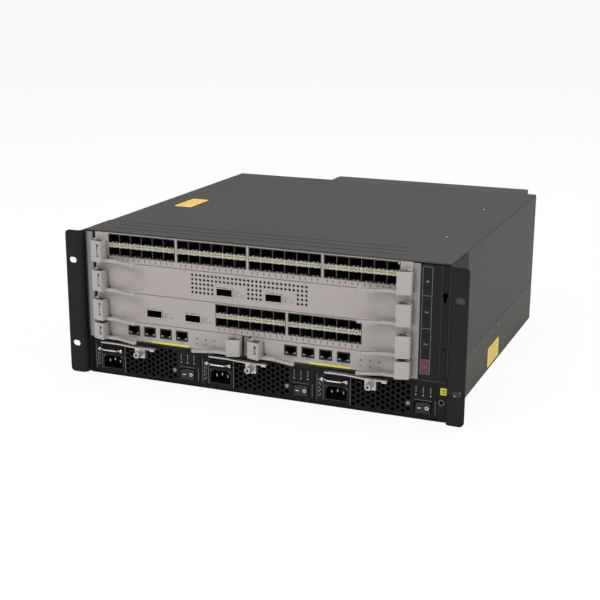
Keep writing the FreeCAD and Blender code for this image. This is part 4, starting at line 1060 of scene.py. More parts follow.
# ----------------------------------------------------------------------------------------
# Sub-assemblies
# ----------------------------------------------------------------------------------------
@dataclass(frozen=True)
class Module:
    """A module's place: the lower left corner of its face, and the face's size."""

    name: str
    left: float
    face: float
    low: float
    right: float
    high: float

    @classmethod
    def of(cls, name: str, node: str, face: float) -> "Module":
        """Read a module's place from the CAD box of one of its nodes."""
        low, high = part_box(node)
        return cls(name, low.x, face, low.z, high.x, high.z)

    def spot(self, across: float, out: float, up: float) -> Point:
        """Give a point in millimetres across the face, out of it and up from its edge."""
        return (self.left + across * MM, self.face - out * MM, self.low + up * MM)

    def blocks(self, forms: Forms, across: Sequence[float], wide: Span, out: Span, up: Span,
               slot: int = 0, bevel: float = 0.0) -> None:
        """Add the same block at several places, all in millimetres.

        Args:
            forms: The collection that takes them.
            across: The places across the face.
            wide: Where each block starts and ends, from its place.
            out: How far its front and its back stand out of the face.
            up: Its lower and upper edge.
            slot: Which of the finishes they take.
            bevel: Width of their edge bevel.
        """
        forms.boxes([self.spot(x + wide[0], out[0], up[0]) for x in across],
                    [self.spot(x + wide[1], out[1], up[1]) for x in across],
                    slot, bevel * MM)

    def studs(self, forms: Forms, places: Sequence[Span], radius: float, height: float,
              sides: int = 14, slot: int = 0) -> None:
        """Add domed heads on the face, all in millimetres.

        Args:
            forms: The collection that takes them.
            places: Their places across and up.
            radius: Their radius.
            height: How far they stand out.
            sides: Facets round each.
            slot: Which of the finishes they take.
        """
        forms.turned(pan_head(radius * MM, height * MM),
                     [self.spot(x, 0.0, z) for x, z in places], OUTWARD, sides, slot)

    def marks(self, forms: Forms, places: Sequence[Tuple[float, float, float, float]],
              proud: float = 0.05) -> None:
        """Add thin raised marks, all in millimetres, in the first finish.

        Args:
            forms: The collection that takes them.
            places: Left, low, width and height of each.
            proud: How far they stand out.
        """
        rows = np.array(places, float)
        low = np.stack([self.left + rows[:, 0] * MM,
                        np.full(len(rows), self.face - proud * MM),
                        self.low + rows[:, 1] * MM], axis=1)
        high = np.stack([low[:, 0] + rows[:, 2] * MM, np.full(len(rows), self.face),
                         low[:, 2] + rows[:, 3] * MM], axis=1)
        forms.boxes(low, high)


@dataclass(frozen=True)
class ChassisLook:
    """Rivets, screws, stickers and printed frames on the folded chassis."""

    rivets: Tuple[Span, ...] = tuple(
        (depth, 46.5) for depth in (115, 155, 194, 232, 273, 309, 347, 388, 407)
    ) + ((378, 34.0),)
    roof_rivets: Tuple[float, ...] = (123, 298)
    roof_rivet_x: float = 0.180
    ear_wall: float = 0.2223
    ear_levels: Tuple[float, ...] = (22.0, 62.0, 112.0, 152.0)
    ear_depths: Span = (28.0, 54.0)
    ear_head: float = 1.5
    ear_cross: Span = (1.6, 0.35)
    film: float = 0.12 * MM
    ruled: float = 0.15 * MM
    line: float = 0.5 * MM
    lines: int = 7
    cover_sticker: Tuple[float, float, float, float] = (-0.190, -0.167, 0.164, 0.217)
    cover_ruling: Tuple[float, float, float] = (-0.1875, 0.168, 0.044)
    side_sticker: Tuple[float, float, float, float] = (0.183, 0.239, 0.005, 0.029)
    side_ruling: Tuple[float, float, float] = (0.0085, 0.188, 0.234)
    square: Tuple[float, float, float, float] = (0.2125, 0.2196, 0.0310, 0.0386)
    square_bars: Tuple[Span, Span] = ((0.2136, 0.2185), (0.0327, 0.0354))
    label_edges: Tuple[float, ...] = (169.5, 138.4, 102.5, 68.0, 52.0)
    label_left: float = 189.0
    label_right: float = 199.8
    numeral_tall: float = 6.0

    def dress(self) -> None:
        """Add every chassis piece."""
        low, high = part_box("lower_tub")
        self._rivets(low, high)
        self._ear_screws()
        self._stickers(low, high)
        self._label_frames(low.y)

    def _rivets(self, low: Vector, high: Vector) -> None:
        """Add the rivets of the side walls and of the cover.

        Args:
            low: Lowest corner of the tub.
            high: Highest corner of the tub.
        """
        forms = Forms(Finish.rivet_steel)
        for side, edge in ((-1, low.x), (1, high.x)):
            centres = [(edge, low.y + d * MM, z * MM) for d, z in self.rivets]
            forms.turned(pan_head(1.7 * MM, 0.55 * MM), centres, (side, 0, 0), 14)
        forms.piece("chassis_side_rivets", "chassis", "chassis_paint")
        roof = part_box("upper_shell")[1]
        dimples = Forms(Finish.pale_print)
        dimples.turned(pan_head(1.3 * MM, 0.25 * MM),
                       [(self.roof_rivet_x, low.y + d * MM, roof.z)
                        for d in self.roof_rivets], (0, 0, 1), 12)
        dimples.piece("cover_blind_rivets", "chassis", "cover_paint")

    def _ear_screws(self) -> None:
        """Add the cross head screws that hold the rack ears."""
        long, short = self.ear_cross
        for side, node in ((-1, "rack_ear_left"), (1, "rack_ear_right")):
            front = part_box(node)[0].y
            forms = Forms(Finish.nickel, Finish.black_insert)
            centres = [(self.ear_wall * side, front + d * MM, z * MM)
                       for z in self.ear_levels for d in self.ear_depths]
            forms.turned(pan_head(3.4 * MM, self.ear_head * MM), centres, (side, 0, 0), 20)
            # Painted shade: a black cross on each crown stands in for the shade in the drive
            # recess.
            for x, y, z in centres:
                crown = x + side * self.ear_head * MM
                ends = sorted((crown, crown + side * self.film))
                for a, b in ((long, short), (short, long)):
                    forms.boxes([(ends[0], y - a * MM, z - b * MM)],
                                [(ends[1], y + a * MM, z + b * MM)], 1)
            forms.piece(node + "_screws", "chassis", "nickel")

    def _stickers(self, low: Vector, high: Vector) -> None:
        """Add the two ruled yellow stickers and the small square one.

        Args:
            low: Lowest corner of the tub.
            high: Highest corner of the tub.
        """
        roof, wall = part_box("upper_shell")[1].z, high.x
        left, right, near, far = self.cover_sticker
        first, start, long = self.cover_ruling
        top = Forms(Finish.yellow_sticker, Finish.dark_print)
        top.plates(rounded(left, right, low.y + near, low.y + far, 0.0015), "z",
                   roof, roof + self.film)
        rows = [(first + step * 2.6 * MM, low.y + start) for step in range(self.lines)]
        top.boxes([(x, y, roof + self.film) for x, y in rows],
                  [(x + self.line, y + long, roof + self.ruled) for x, y in rows], 1)
        top.piece("cover_yellow_sticker", "chassis", "cover_paint")
        near, far, bottom, upper = self.side_sticker
        first, start, end = self.side_ruling
        side = Forms(Finish.yellow_sticker, Finish.dark_print)
        side.plates(rounded(low.y + near, low.y + far, bottom, upper, 0.0015), "x",
                    wall, wall + self.film)
        rows = [first + step * 2.8 * MM for step in range(self.lines)]
        side.boxes([(wall + self.film, low.y + start, z) for z in rows],
                   [(wall + self.ruled, low.y + end, z + self.line) for z in rows], 1)
        side.piece("side_yellow_sticker", "chassis", "chassis_paint")
        (left, right), bars = self.square_bars
        square = Forms(Finish.square_sticker, Finish.black_insert)
        square.plates(rounded(*self.square, 0.0006), "y", low.y - self.film, low.y)
        square.boxes([(left, low.y - 0.16 * MM, z) for z in bars],
                     [(right, low.y - self.film, z + 1.1 * MM) for z in bars], 1)
        square.piece("strap_socket_sticker", "chassis", "dark_panel")

    def _label_frames(self, front: float) -> None:
        """Print the numbered frames beside the cards.

        Args:
            front: Y of the chassis front.
        """
        forms = Forms(Finish.grey_print, Finish.red_label, Finish.dark_print)
        left, right, line = self.label_left * MM, self.label_right * MM, 0.35 * MM
        skin = front - 0.05 * MM
        for level in self.label_edges:
            forms.boxes([(left, skin, level * MM - line)], [(right, front, level * MM)])
        for x in (left, right - line):
            forms.boxes([(x, skin, self.label_edges[-1] * MM)],
                        [(x + line, front, self.label_edges[0] * MM)])
        forms.boxes([(left + line, skin, 0.0525)], [(right - line, front, 0.0675)], 1)
        forms.boxes([(0.2100, skin, 0.0465)], [(0.2103, front, 0.1720)], 2)
        middle, upright = (left + right) / 2, Matrix.Rotation(math.radians(90), 4, "X")
        pairs = zip(self.label_edges, self.label_edges[1:])
        for number, (upper, lower) in enumerate(pairs):
            spot = (middle, skin - 0.01 * MM, (upper + lower) / 2 * MM)
            triangles = numeral(str(4 - number), self.numeral_tall * MM, -90.0,
                                Matrix.Translation(spot) @ upright)
            forms.keep(triangles, np.arange(len(triangles)).reshape(-1, 3))
        forms.piece("label_panel_print", "chassis", "dark_panel")


@dataclass(frozen=True)
class EjectorPlan:
    """An ejector's own plan in millimetres: u runs inwards from the pivot, v forwards."""

    forms: Forms
    pivot: Point
    hand: float

    def box(self, u: Span, v: Span, z: Span, slot: int, bevel: float = 0.0) -> None:
        """Add a box.

        Args:
            u: Its two ends inwards.
            v: Its two ends forwards.
            z: Its lower and upper height.
            slot: Which of the finishes it takes.
            bevel: Width of its edge bevel.
        """
        x, y, base = self.pivot
        xs = sorted(x + self.hand * value * MM for value in u)
        ys = sorted(y - value * MM for value in v)
        self.forms.boxes([(xs[0], ys[0], base + z[0] * MM)],
                         [(xs[1], ys[1], base + z[1] * MM)], slot, bevel * MM)

    def plate(self, outline: Sequence[Span], low: float, high: float, slot: int) -> None:
        """Add an upright extrusion.

        Args:
            outline: Its corners, as u and v.
            low: Where it starts.
            high: Where it ends.
            slot: Which of the finishes it takes.
        """
        x, y, base = self.pivot
        self.forms.plates([(x + self.hand * u * MM, y - v * MM) for u, v in outline], "z",
                          base + low * MM, base + high * MM, slot)


@dataclass(frozen=True)
class EjectorLook:
    """A cast ejector with rounded edges, painted shade on its block top and arm top, its
    latch, grip and face gasket.
    """

    pivot_in: float = 2.3
    pivot_out: float = 3.8
    rear: float = -3.3
    inner: float = 11.7
    front: float = 9.7
    side_front: float = 5.2
    margin: float = 1.3
    inset_rear: float = -1.9
    inset_skew: float = 1.2
    window_in: float = 7.2
    window_deep: float = 3.5
    window_low: float = 6.8
    coils: int = 4
    straight: float = 28.0
    reach: float = 55.0
    arm_front: float = 3.9
    lift: float = 8.5
    arm_top: float = 3.7
    grips: Tuple[float, ...] = (0.15, 0.3, 0.58, 0.8)
    gasket_pitch: float = 2.4
    gasket_wide: float = 0.8

    def dress(self, module: Module, side: str, block_top: float) -> None:
        """Add one ejector's pieces.

        Args:
            module: The card it belongs to.
            side: "left" or "right".
            block_top: Height of its block above the card's lower edge.
        """
        body = "%s_ejector_%s" % (module.name, side)
        softened(body, 0.35 * MM, Finish.cast_ejector, body + "_casting")
        pivot_x = (module.left + self.pivot_in * MM if side == "left"
                   else module.right - self.pivot_in * MM)
        forms = Forms(Finish.black_insert, Finish.nickel, Finish.brown_shade)
        plan = EjectorPlan(forms, (pivot_x, module.face - self.pivot_out * MM, module.low),
                           1.0 if side == "left" else -1.0)
        if side == "left":
            self._latch(plan, block_top)
        # Painted shade: a brown sheet over the block top and a black strip along its rear
        # darken the top where shade lies.
        left, right = self.rear + self.margin, self.inner - self.margin
        plan.plate([(left, self.inset_rear), (right, self.inset_rear),
                    (right, self.front - self.margin - self.inset_skew),
                    (left, self.side_front - self.margin)],
                   block_top - 0.3, block_top + 0.06, 2)
        left, right = 1.4, self.inner - 2.6
        plan.plate([(left, -1.2), (right, -1.2), (right, 1.4), (left, 1.4)],
                   block_top, block_top + 0.12, 0)
        run = self.reach - self.straight
        slope = self.lift / run
        start, end = self.straight + 1.0, self.reach - 4.0
        rise = slope * (end - self.straight)
        # Painted shadow: a black strip along the top of the arm stands in for the shade
        # between the arm and the face.
        plan.plate([(start, self.arm_front - 1.5 + slope), (end, self.arm_front - 1.5 + rise),
                    (end, self.arm_front - 2.7 + rise),
                    (start, self.arm_front - 2.7 + slope)],
                   self.arm_top - 0.1, self.arm_top + 0.05, 0)
        for share in self.grips:
            u = self.straight + share * run
            v = self.arm_front + slope * share * run
            plan.box((u - 0.35, u + 0.35), (v - 0.4, v + 0.13), (1.6, 2.3), 0)
        forms.piece(body + "_latch", body, "cast_ejector")

    def _latch(self, plan: EjectorPlan, block_top: float) -> None:
        """Paint shade into the window with a black lining at its back, and stand the spring
        catch in it.

        Args:
            plan: The ejector's plan.
            block_top: Height of its block above the card's lower edge.
        """
        mid, floor = self.window_in, self.front - self.window_deep
        low, high = self.window_low, block_top - 3.1
        # Painted shade: the black lining at the back of the window.
        plan.box((mid - 1.45, mid + 1.45), (floor + 0.02, floor + 0.5), (low, high), 0)
        plan.box((mid - 0.75, mid + 0.75), (floor + 0.5, floor + 1.35),
                 (low + 1.0, high - 3.2), 1, 0.2)
        for step in range(self.coils):
            level = low + 1.6 + step * (high - low - 4.6) / 3.6
            plan.box((mid - 0.9, mid + 0.9), (floor + 0.6, floor + 1.6),
                     (level, level + 0.5), 0, 0.1)

    def gasket(self, module: Module, forms: Forms, side: str, block_top: float) -> None:
        """Paint shade on the card's face beside a block: dark marks where the gaps of the
        spring gasket lie.

        Args:
            module: The card it belongs to.
            forms: The collection that takes them.
            side: "left" or "right".
            block_top: Height of the block above the card's lower edge.
        """
        wide = (module.right - module.left) / MM
        start = self.pivot_in + self.inner + 0.7
        rows = []
        for step in range(int(block_top / self.gasket_pitch) - 1):
            for shift, tall in ((0.0, 1.3), (1.1, 0.8)):
                left = start + shift
                left = left if side == "left" else wide - left - self.gasket_wide
                rows.append((left, 5.6 + 2.2 * step + 0.5 * shift, self.gasket_wide, tall))
        # Painted shade: dark marks in the gaps of the spring gasket.
        module.marks(forms, rows)
        spot = start + 1.9 if side == "left" else wide - start - 1.9
        module.studs(forms, [(spot, 4.4)], 1.25, 0.5)


@dataclass(frozen=True)
class PortStrip:
    """The light strip, spring fingers and port ticks of the pluggable module groups."""

    lefts: Tuple[float, ...]
    ports: int = 6
    pitch: float = 14.25
    rows: Span = (7.9, 23.2)
    row_tall: float = 9.3
    low: float = 17.35
    high: float = 23.05
    skin: float = 0.32
    arrows: Tuple[float, ...] = (2.3, 5.5, 8.8, 12.0)
    arrow_level: float = 20.3
    windows: Tuple[Tuple[float, float, float, float], ...] = (
        (1.2, 3.6, 22.35, 23.06), (6.4, 8.2, 22.35, 23.06), (9.6, 12.6, 22.35, 23.06),
        (3.4, 5.2, 17.35, 17.9), (10.4, 12.9, 17.35, 17.9))
    fingers: Tuple[float, ...] = (2.6, 7.1, 11.6)
    tabs: Span = (5.6, 10.4)

    def dress(self, module: Module) -> None:
        """Add the strips to a card's face.

        Args:
            module: The card.
        """
        strips = Forms(Finish.strip_cream, Finish.strip_hole, Finish.cage_lip,
                       Finish.nickel)
        ticks = Forms(Finish.dark_print)
        wide = self.ports * self.pitch
        for left in self.lefts:
            module.blocks(strips, [left], (0.35, wide - 0.35), (self.skin, 0.2),
                          (self.low, self.high))
            module.blocks(strips, [left], (0.4, wide - 0.4), (0.2, -0.28), (17.8, 22.6))
            self._arrows(module, strips, left)
            self._lips(module, strips, left)
            for port in range(self.ports):
                middle = left + (port + 0.5) * self.pitch
                module.marks(ticks, [(middle - 4.0, 3.7, 1.3, 1.7),
                                     (middle - 3.7, 1.8, 0.7, 1.5),
                                     (middle + 2.6, 3.7, 1.3, 1.7),
                                     (middle + 2.9, 1.8, 0.7, 1.5)])
        strips.piece(module.name + "_light_strips", module.name, "cage_steel")
        ticks.piece(module.name + "_port_ticks", module.name, "card_face")

    def _arrows(self, module: Module, strips: Forms, left: float) -> None:
        """Cut the four arrow windows of each port, and the slots round them.

        Args:
            module: The card.
            strips: The collection that takes them.
            left: The group's left edge.
        """
        out, back = self.skin + 0.04, self.skin - 0.1
        for port in range(self.ports):
            start = left + port * self.pitch
            for n, across in enumerate(self.arrows):
                x, up = start + across, 1.0 if n % 2 else -1.0
                middle = self.arrow_level + 0.5 * up
                corners = [(x - 1.05, middle - 0.95 * up), (x + 1.05, middle - 0.95 * up),
                           (x, middle + 1.15 * up)]
                strips.plates([(module.left + a * MM, module.low + b * MM)
                               for a, b in corners], "y", module.face - out * MM,
                              module.face - back * MM, 1)
            for first, last, low, high in self.windows:
                module.blocks(strips, [start], (first, last), (out, back), (low, high), 1)

    def _lips(self, module: Module, strips: Forms, left: float) -> None:
        """Stand the bright wall edges between the ports and the tabs in their floors.

        Args:
            module: The card.
            strips: The collection that takes them.
            left: The group's left edge.
        """
        start = left + np.arange(self.ports) * self.pitch
        fingers = np.concatenate([start + a for a in self.fingers])
        tabs = np.concatenate([start + a for a in self.tabs])
        for row in self.rows:
            module.blocks(strips, left + np.arange(1, self.ports) * self.pitch, (-0.2, 0.2),
                          (0.3, 0.19), (row, row + self.row_tall), 2)
            module.blocks(strips, fingers, (-0.9, 0.9), (-0.4, -3.4),
                          (row + 8.95, row + 9.25), 2)
            module.blocks(strips, tabs, (-0.5, 0.5), (0.1, -1.2), (row + 0.02, row + 0.8), 3)


@dataclass(frozen=True)
class LineCardLook:
    """What is printed and fitted on one full width card."""

    number: int
    groups: Tuple[float, ...] = ()
    wide_ports: Tuple[float, ...] = ()
    block_top: float = 25.0
    port_wide: float = 19.2
    port_low: float = 8.6
    port_high: float = 16.8
    rim: float = 0.85
    print_line: float = 0.35
    dots: Tuple[float, ...] = (10.2, 12.4, 14.6)
    screw_in: float = 15.7

    def dress(self) -> None:
        """Add the card's pieces."""
        name = "line_card_%d" % self.number
        module = Module.of(name, name + "_faceplate", CARD_FACE)
        if self.groups:
            PortStrip(self.groups).dress(module)
        if self.wide_ports:
            self._wide_port_marks(module)
        for side in SIDES:
            EjectorLook().dress(module, side, self.block_top)
        self._face_screws(module)
        BoardLook(module, self.number).dress()

    def _wide_port_marks(self, module: Module) -> None:
        """Print round the wide ports, and frame them.

        Args:
            module: The card.
        """
        print_ = Forms(Finish.dark_print, Finish.indicator)
        sleeves = Forms(Finish.nickel)
        low, high, rim, line = self.port_low, self.port_high, self.rim, self.print_line
        for left in self.wide_ports:
            right = left + self.port_wide
            module.marks(print_, [
                (right + 5.0, 15.2, 5.0, line), (right + 5.0, 13.6, 3.6, line),
                (right + 5.0, 9.4, line, 4.2), (right + 5.0, 9.4, 4.0, line),
                (right + 10.5, 11.4, 4.5, line), (right + 10.5, 9.4, 4.5, line),
                (left + 8.8, 18.6, 1.4, 0.5)])
            module.studs(print_, [(right + 3.2, z) for z in self.dots], 0.55, 0.18, 12, 1)
            for x0, x1, z0, z1 in ((left - rim, right + rim, high, high + 0.8),
                                   (left - rim, right + rim, low - 0.8, low),
                                   (left - rim, left, low, high),
                                   (right, right + rim, low, high)):
                module.blocks(sleeves, [0.0], (x0, x1), (0.75, 0.18), (z0, z1), 0, 0.15)
        print_.piece(module.name + "_wide_port_marks", module.name, "card_face")
        sleeves.piece(module.name + "_wide_port_frames", module.name, "cage_steel")

    def _face_screws(self, module: Module) -> None:
        """Add the painted shade of the gaskets and the two slotted screws of the face.

        Args:
            module: The card.
        """
        forms = Forms(Finish.black_insert, Finish.nickel)
        wide, tall = (module.right - module.left) / MM, (module.high - module.low) / MM
        for side in SIDES:
            EjectorLook().gasket(module, forms, side, self.block_top)
        level = tall - 3.2
        for across in (self.screw_in, wide - self.screw_in):
            module.studs(forms, [(across, level)], 1.1, 0.4, 14, 1)
            # Painted shade: a black bar stands in for the shade in the screw's slot.
            module.blocks(forms, [across], (-0.7, 0.7), (0.46, 0.36),
                          (level - 0.15, level + 0.15))
        forms.piece(module.name + "_face_screws", module.name, "nickel")


@dataclass(frozen=True)
class BoardLook:
    """Chips and small parts on a card's board, seen when the card is drawn out."""

    module: Module
    seed: int
    chips: int = 26
    level: float = 6.8
    depths: Span = (0.088, 0.206)
    sizes: Span = (5.0, 12.0)
    chip_tall: float = 1.4
    pin_long: float = 0.9
    pin_tall: float = 0.3

    def dress(self) -> None:
        """Scatter the chips in rows between the heat sinks."""
        low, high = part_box(self.module.name + "_board")
        spread = np.random.default_rng(SEED + self.seed)
        top = self.module.low + self.level * MM
        forms = Forms(Finish.chip_resin, Finish.gold_pin)
        columns = np.linspace(low.x + 0.02, high.x - 0.035, self.chips // 2)
        same = np.ones(len(columns))
        for depth in self.depths:
            sizes = spread.uniform(*self.sizes, (len(columns), 2)) * MM
            lows = np.stack([columns, same * (low.y + depth), same * top], axis=1)
            highs = lows + np.column_stack([sizes, same * (self.chip_tall * MM)])
            forms.boxes(lows, highs, 0, 0.15 * MM)
            pins = lows - np.array([0.0, self.pin_long * MM, 0.0])
            pin_tops = np.stack([highs[:, 0], lows[:, 1], same * (top + self.pin_tall * MM)],
                                axis=1)
            forms.boxes(pins, pin_tops, 1)
        forms.piece(self.module.name + "_chips", self.module.name, "circuit_board")


@dataclass(frozen=True)
class ControlCardLook:
    """What is printed and fitted on one half width card."""

    number: int
    block_top: float = 19.8
    jacks: int = 4
    jack_first: float = 41.5
    jack_pitch: float = 20.9
    jack_wide: float = 12.6
    contacts: int = 8
    contact_pitch: float = 1.02
    lights: Tuple[float, ...] = (130.2, 141.3, 151.8)
    band: Tuple[Span, ...] = ((71.5, 0.3), (118.0, 0.3), (120.0, 2.5), (69.5, 2.5))

    def dress(self) -> None:
        """Add the card's pieces."""
        name = "control_card_%d" % self.number
        module = Module.of(name, name + "_faceplate", CARD_FACE)
        band = Forms(Finish.yellow_band)
        band.plates([(x * MM + module.left, z * MM + module.low) for x, z in self.band],
                    "y", module.face - 0.1 * MM, module.face)
        band.piece(name + "_yellow_band", name, "card_face")
        marks = Forms(Finish.dark_print, Finish.black_insert, Finish.clear_light)
        pins = Forms(Finish.gold_pin)
        # The gasket marks are painted shade in the dark print.
        for side in SIDES:
            EjectorLook().gasket(module, marks, side, self.block_top)
        for across in self.lights:
            module.studs(marks, [(across, 12.5)], 0.9, 0.25, 14, 1)
            module.marks(marks, [(across - 1.8, 6.6, 3.6, 0.4),
                                 (across - 1.2, 5.4, 2.4, 0.4)])
        for port in range(self.jacks):
            left = self.jack_first + port * self.jack_pitch
            module.marks(marks, [(left + 3.0, 5.0, 6.6, 0.4)])
            for step in (0.1, self.jack_wide - 2.5):
                module.blocks(marks, [left + step], (0.0, 2.4), (0.1, -1.6), (8.6, 10.4),
                              2, 0.3)
            module.blocks(pins, left + 2.4 + self.contact_pitch * np.arange(self.contacts),
                          (0.0, 0.45), (-8.0, -14.0), (16.4, 16.9))
        marks.piece(name + "_marks", name, "card_face")
        pins.piece(name + "_contacts", name, "jack_plastic")
        for side in SIDES:
            EjectorLook().dress(module, side, self.block_top)
        BoardLook(module, 10 + self.number, 12).dress()


def swept_tube(points: Sequence[Point], radius: float, bend: float, sides: int = 12,
               steps: int = 6) -> Shape:
    """Sweep a round wire along a route whose corners are quadratic curves.

    Args:
        points: Corners of the route.
        radius: Radius of the wire.
        bend: How far before each corner its bend starts.
        sides: Facets round the wire.
        steps: Steps in each bend.

    Returns:
        The points and faces of the tube, closed at its ends.
    """
    route = [np.array(points[0], float)]
    for corners in zip(points, points[1:], points[2:]):
        before, here, after = (np.array(corner, float) for corner in corners)
        start = here + (before - here) / np.linalg.norm(before - here) * bend
        end = here + (after - here) / np.linalg.norm(after - here) * bend
        for t in np.linspace(0.0, 1.0, steps + 1):
            route.append((1 - t) ** 2 * start + 2 * t * (1 - t) * here + t ** 2 * end)
    route.append(np.array(points[-1], float))
    line = np.array(route)
    ahead = np.gradient(line, axis=0)
    ahead /= np.linalg.norm(ahead, axis=1)[:, None]
    plane = np.cross(ahead[0], np.array([0.0, 0.0, 1.0]))
    side = plane / np.linalg.norm(plane)
    rings = []
    angle = np.linspace(0.0, 2.0 * np.pi, sides, endpoint=False)
    for spot, way in zip(line, ahead):
        side = side - way * (side @ way)
        side /= np.linalg.norm(side)
        up = np.cross(way, side)
        rings.append(spot + radius * (np.outer(np.cos(angle), side)
                                      + np.outer(np.sin(angle), up)))
    sheath, ends = tube_faces(len(rings), sides)
    return np.vstack(rings), sheath.tolist() + ends.tolist()


@dataclass(frozen=True)
class Grille:
    """The staggered hexagonal air holes of a power module's face."""

    first: float = 45.3
    columns: int = 12
    pitch: float = 5.7
    low: float = 5.1
    row_pitch: float = 6.35
    rows: int = 6
    across: float = 4.4
    margin: float = 2.9
    foot: float = 0.4
    right: float = 113.4
    ring_column: int = 11
    ring_row: int = 1

    def spots(self) -> List[Span]:
        """Give the holes' middles; an odd column has one hole less, half a pitch up.

        Returns:
            Places across and up, without the one that the ring takes.
        """
        return [(self.first + column * self.pitch,
                 self.low + (row + 0.5 * (column % 2)) * self.row_pitch)
                for column in range(self.columns) for row in range(self.rows - column % 2)
                if (column, row) != (self.ring_column, self.ring_row)]

    def ring(self) -> Span:
        """Give the place of the ring among the holes."""
        return (self.first + self.ring_column * self.pitch,
                self.low + (self.ring_row + 0.5) * self.row_pitch)

    def edges(self) -> Tuple[float, float, float, float]:
        """Give the pierced field's left, right, low and high edges."""
        return (self.first - self.margin, self.right, self.low - self.margin - self.foot,
                self.low + (self.rows - 1) * self.row_pitch + self.margin)


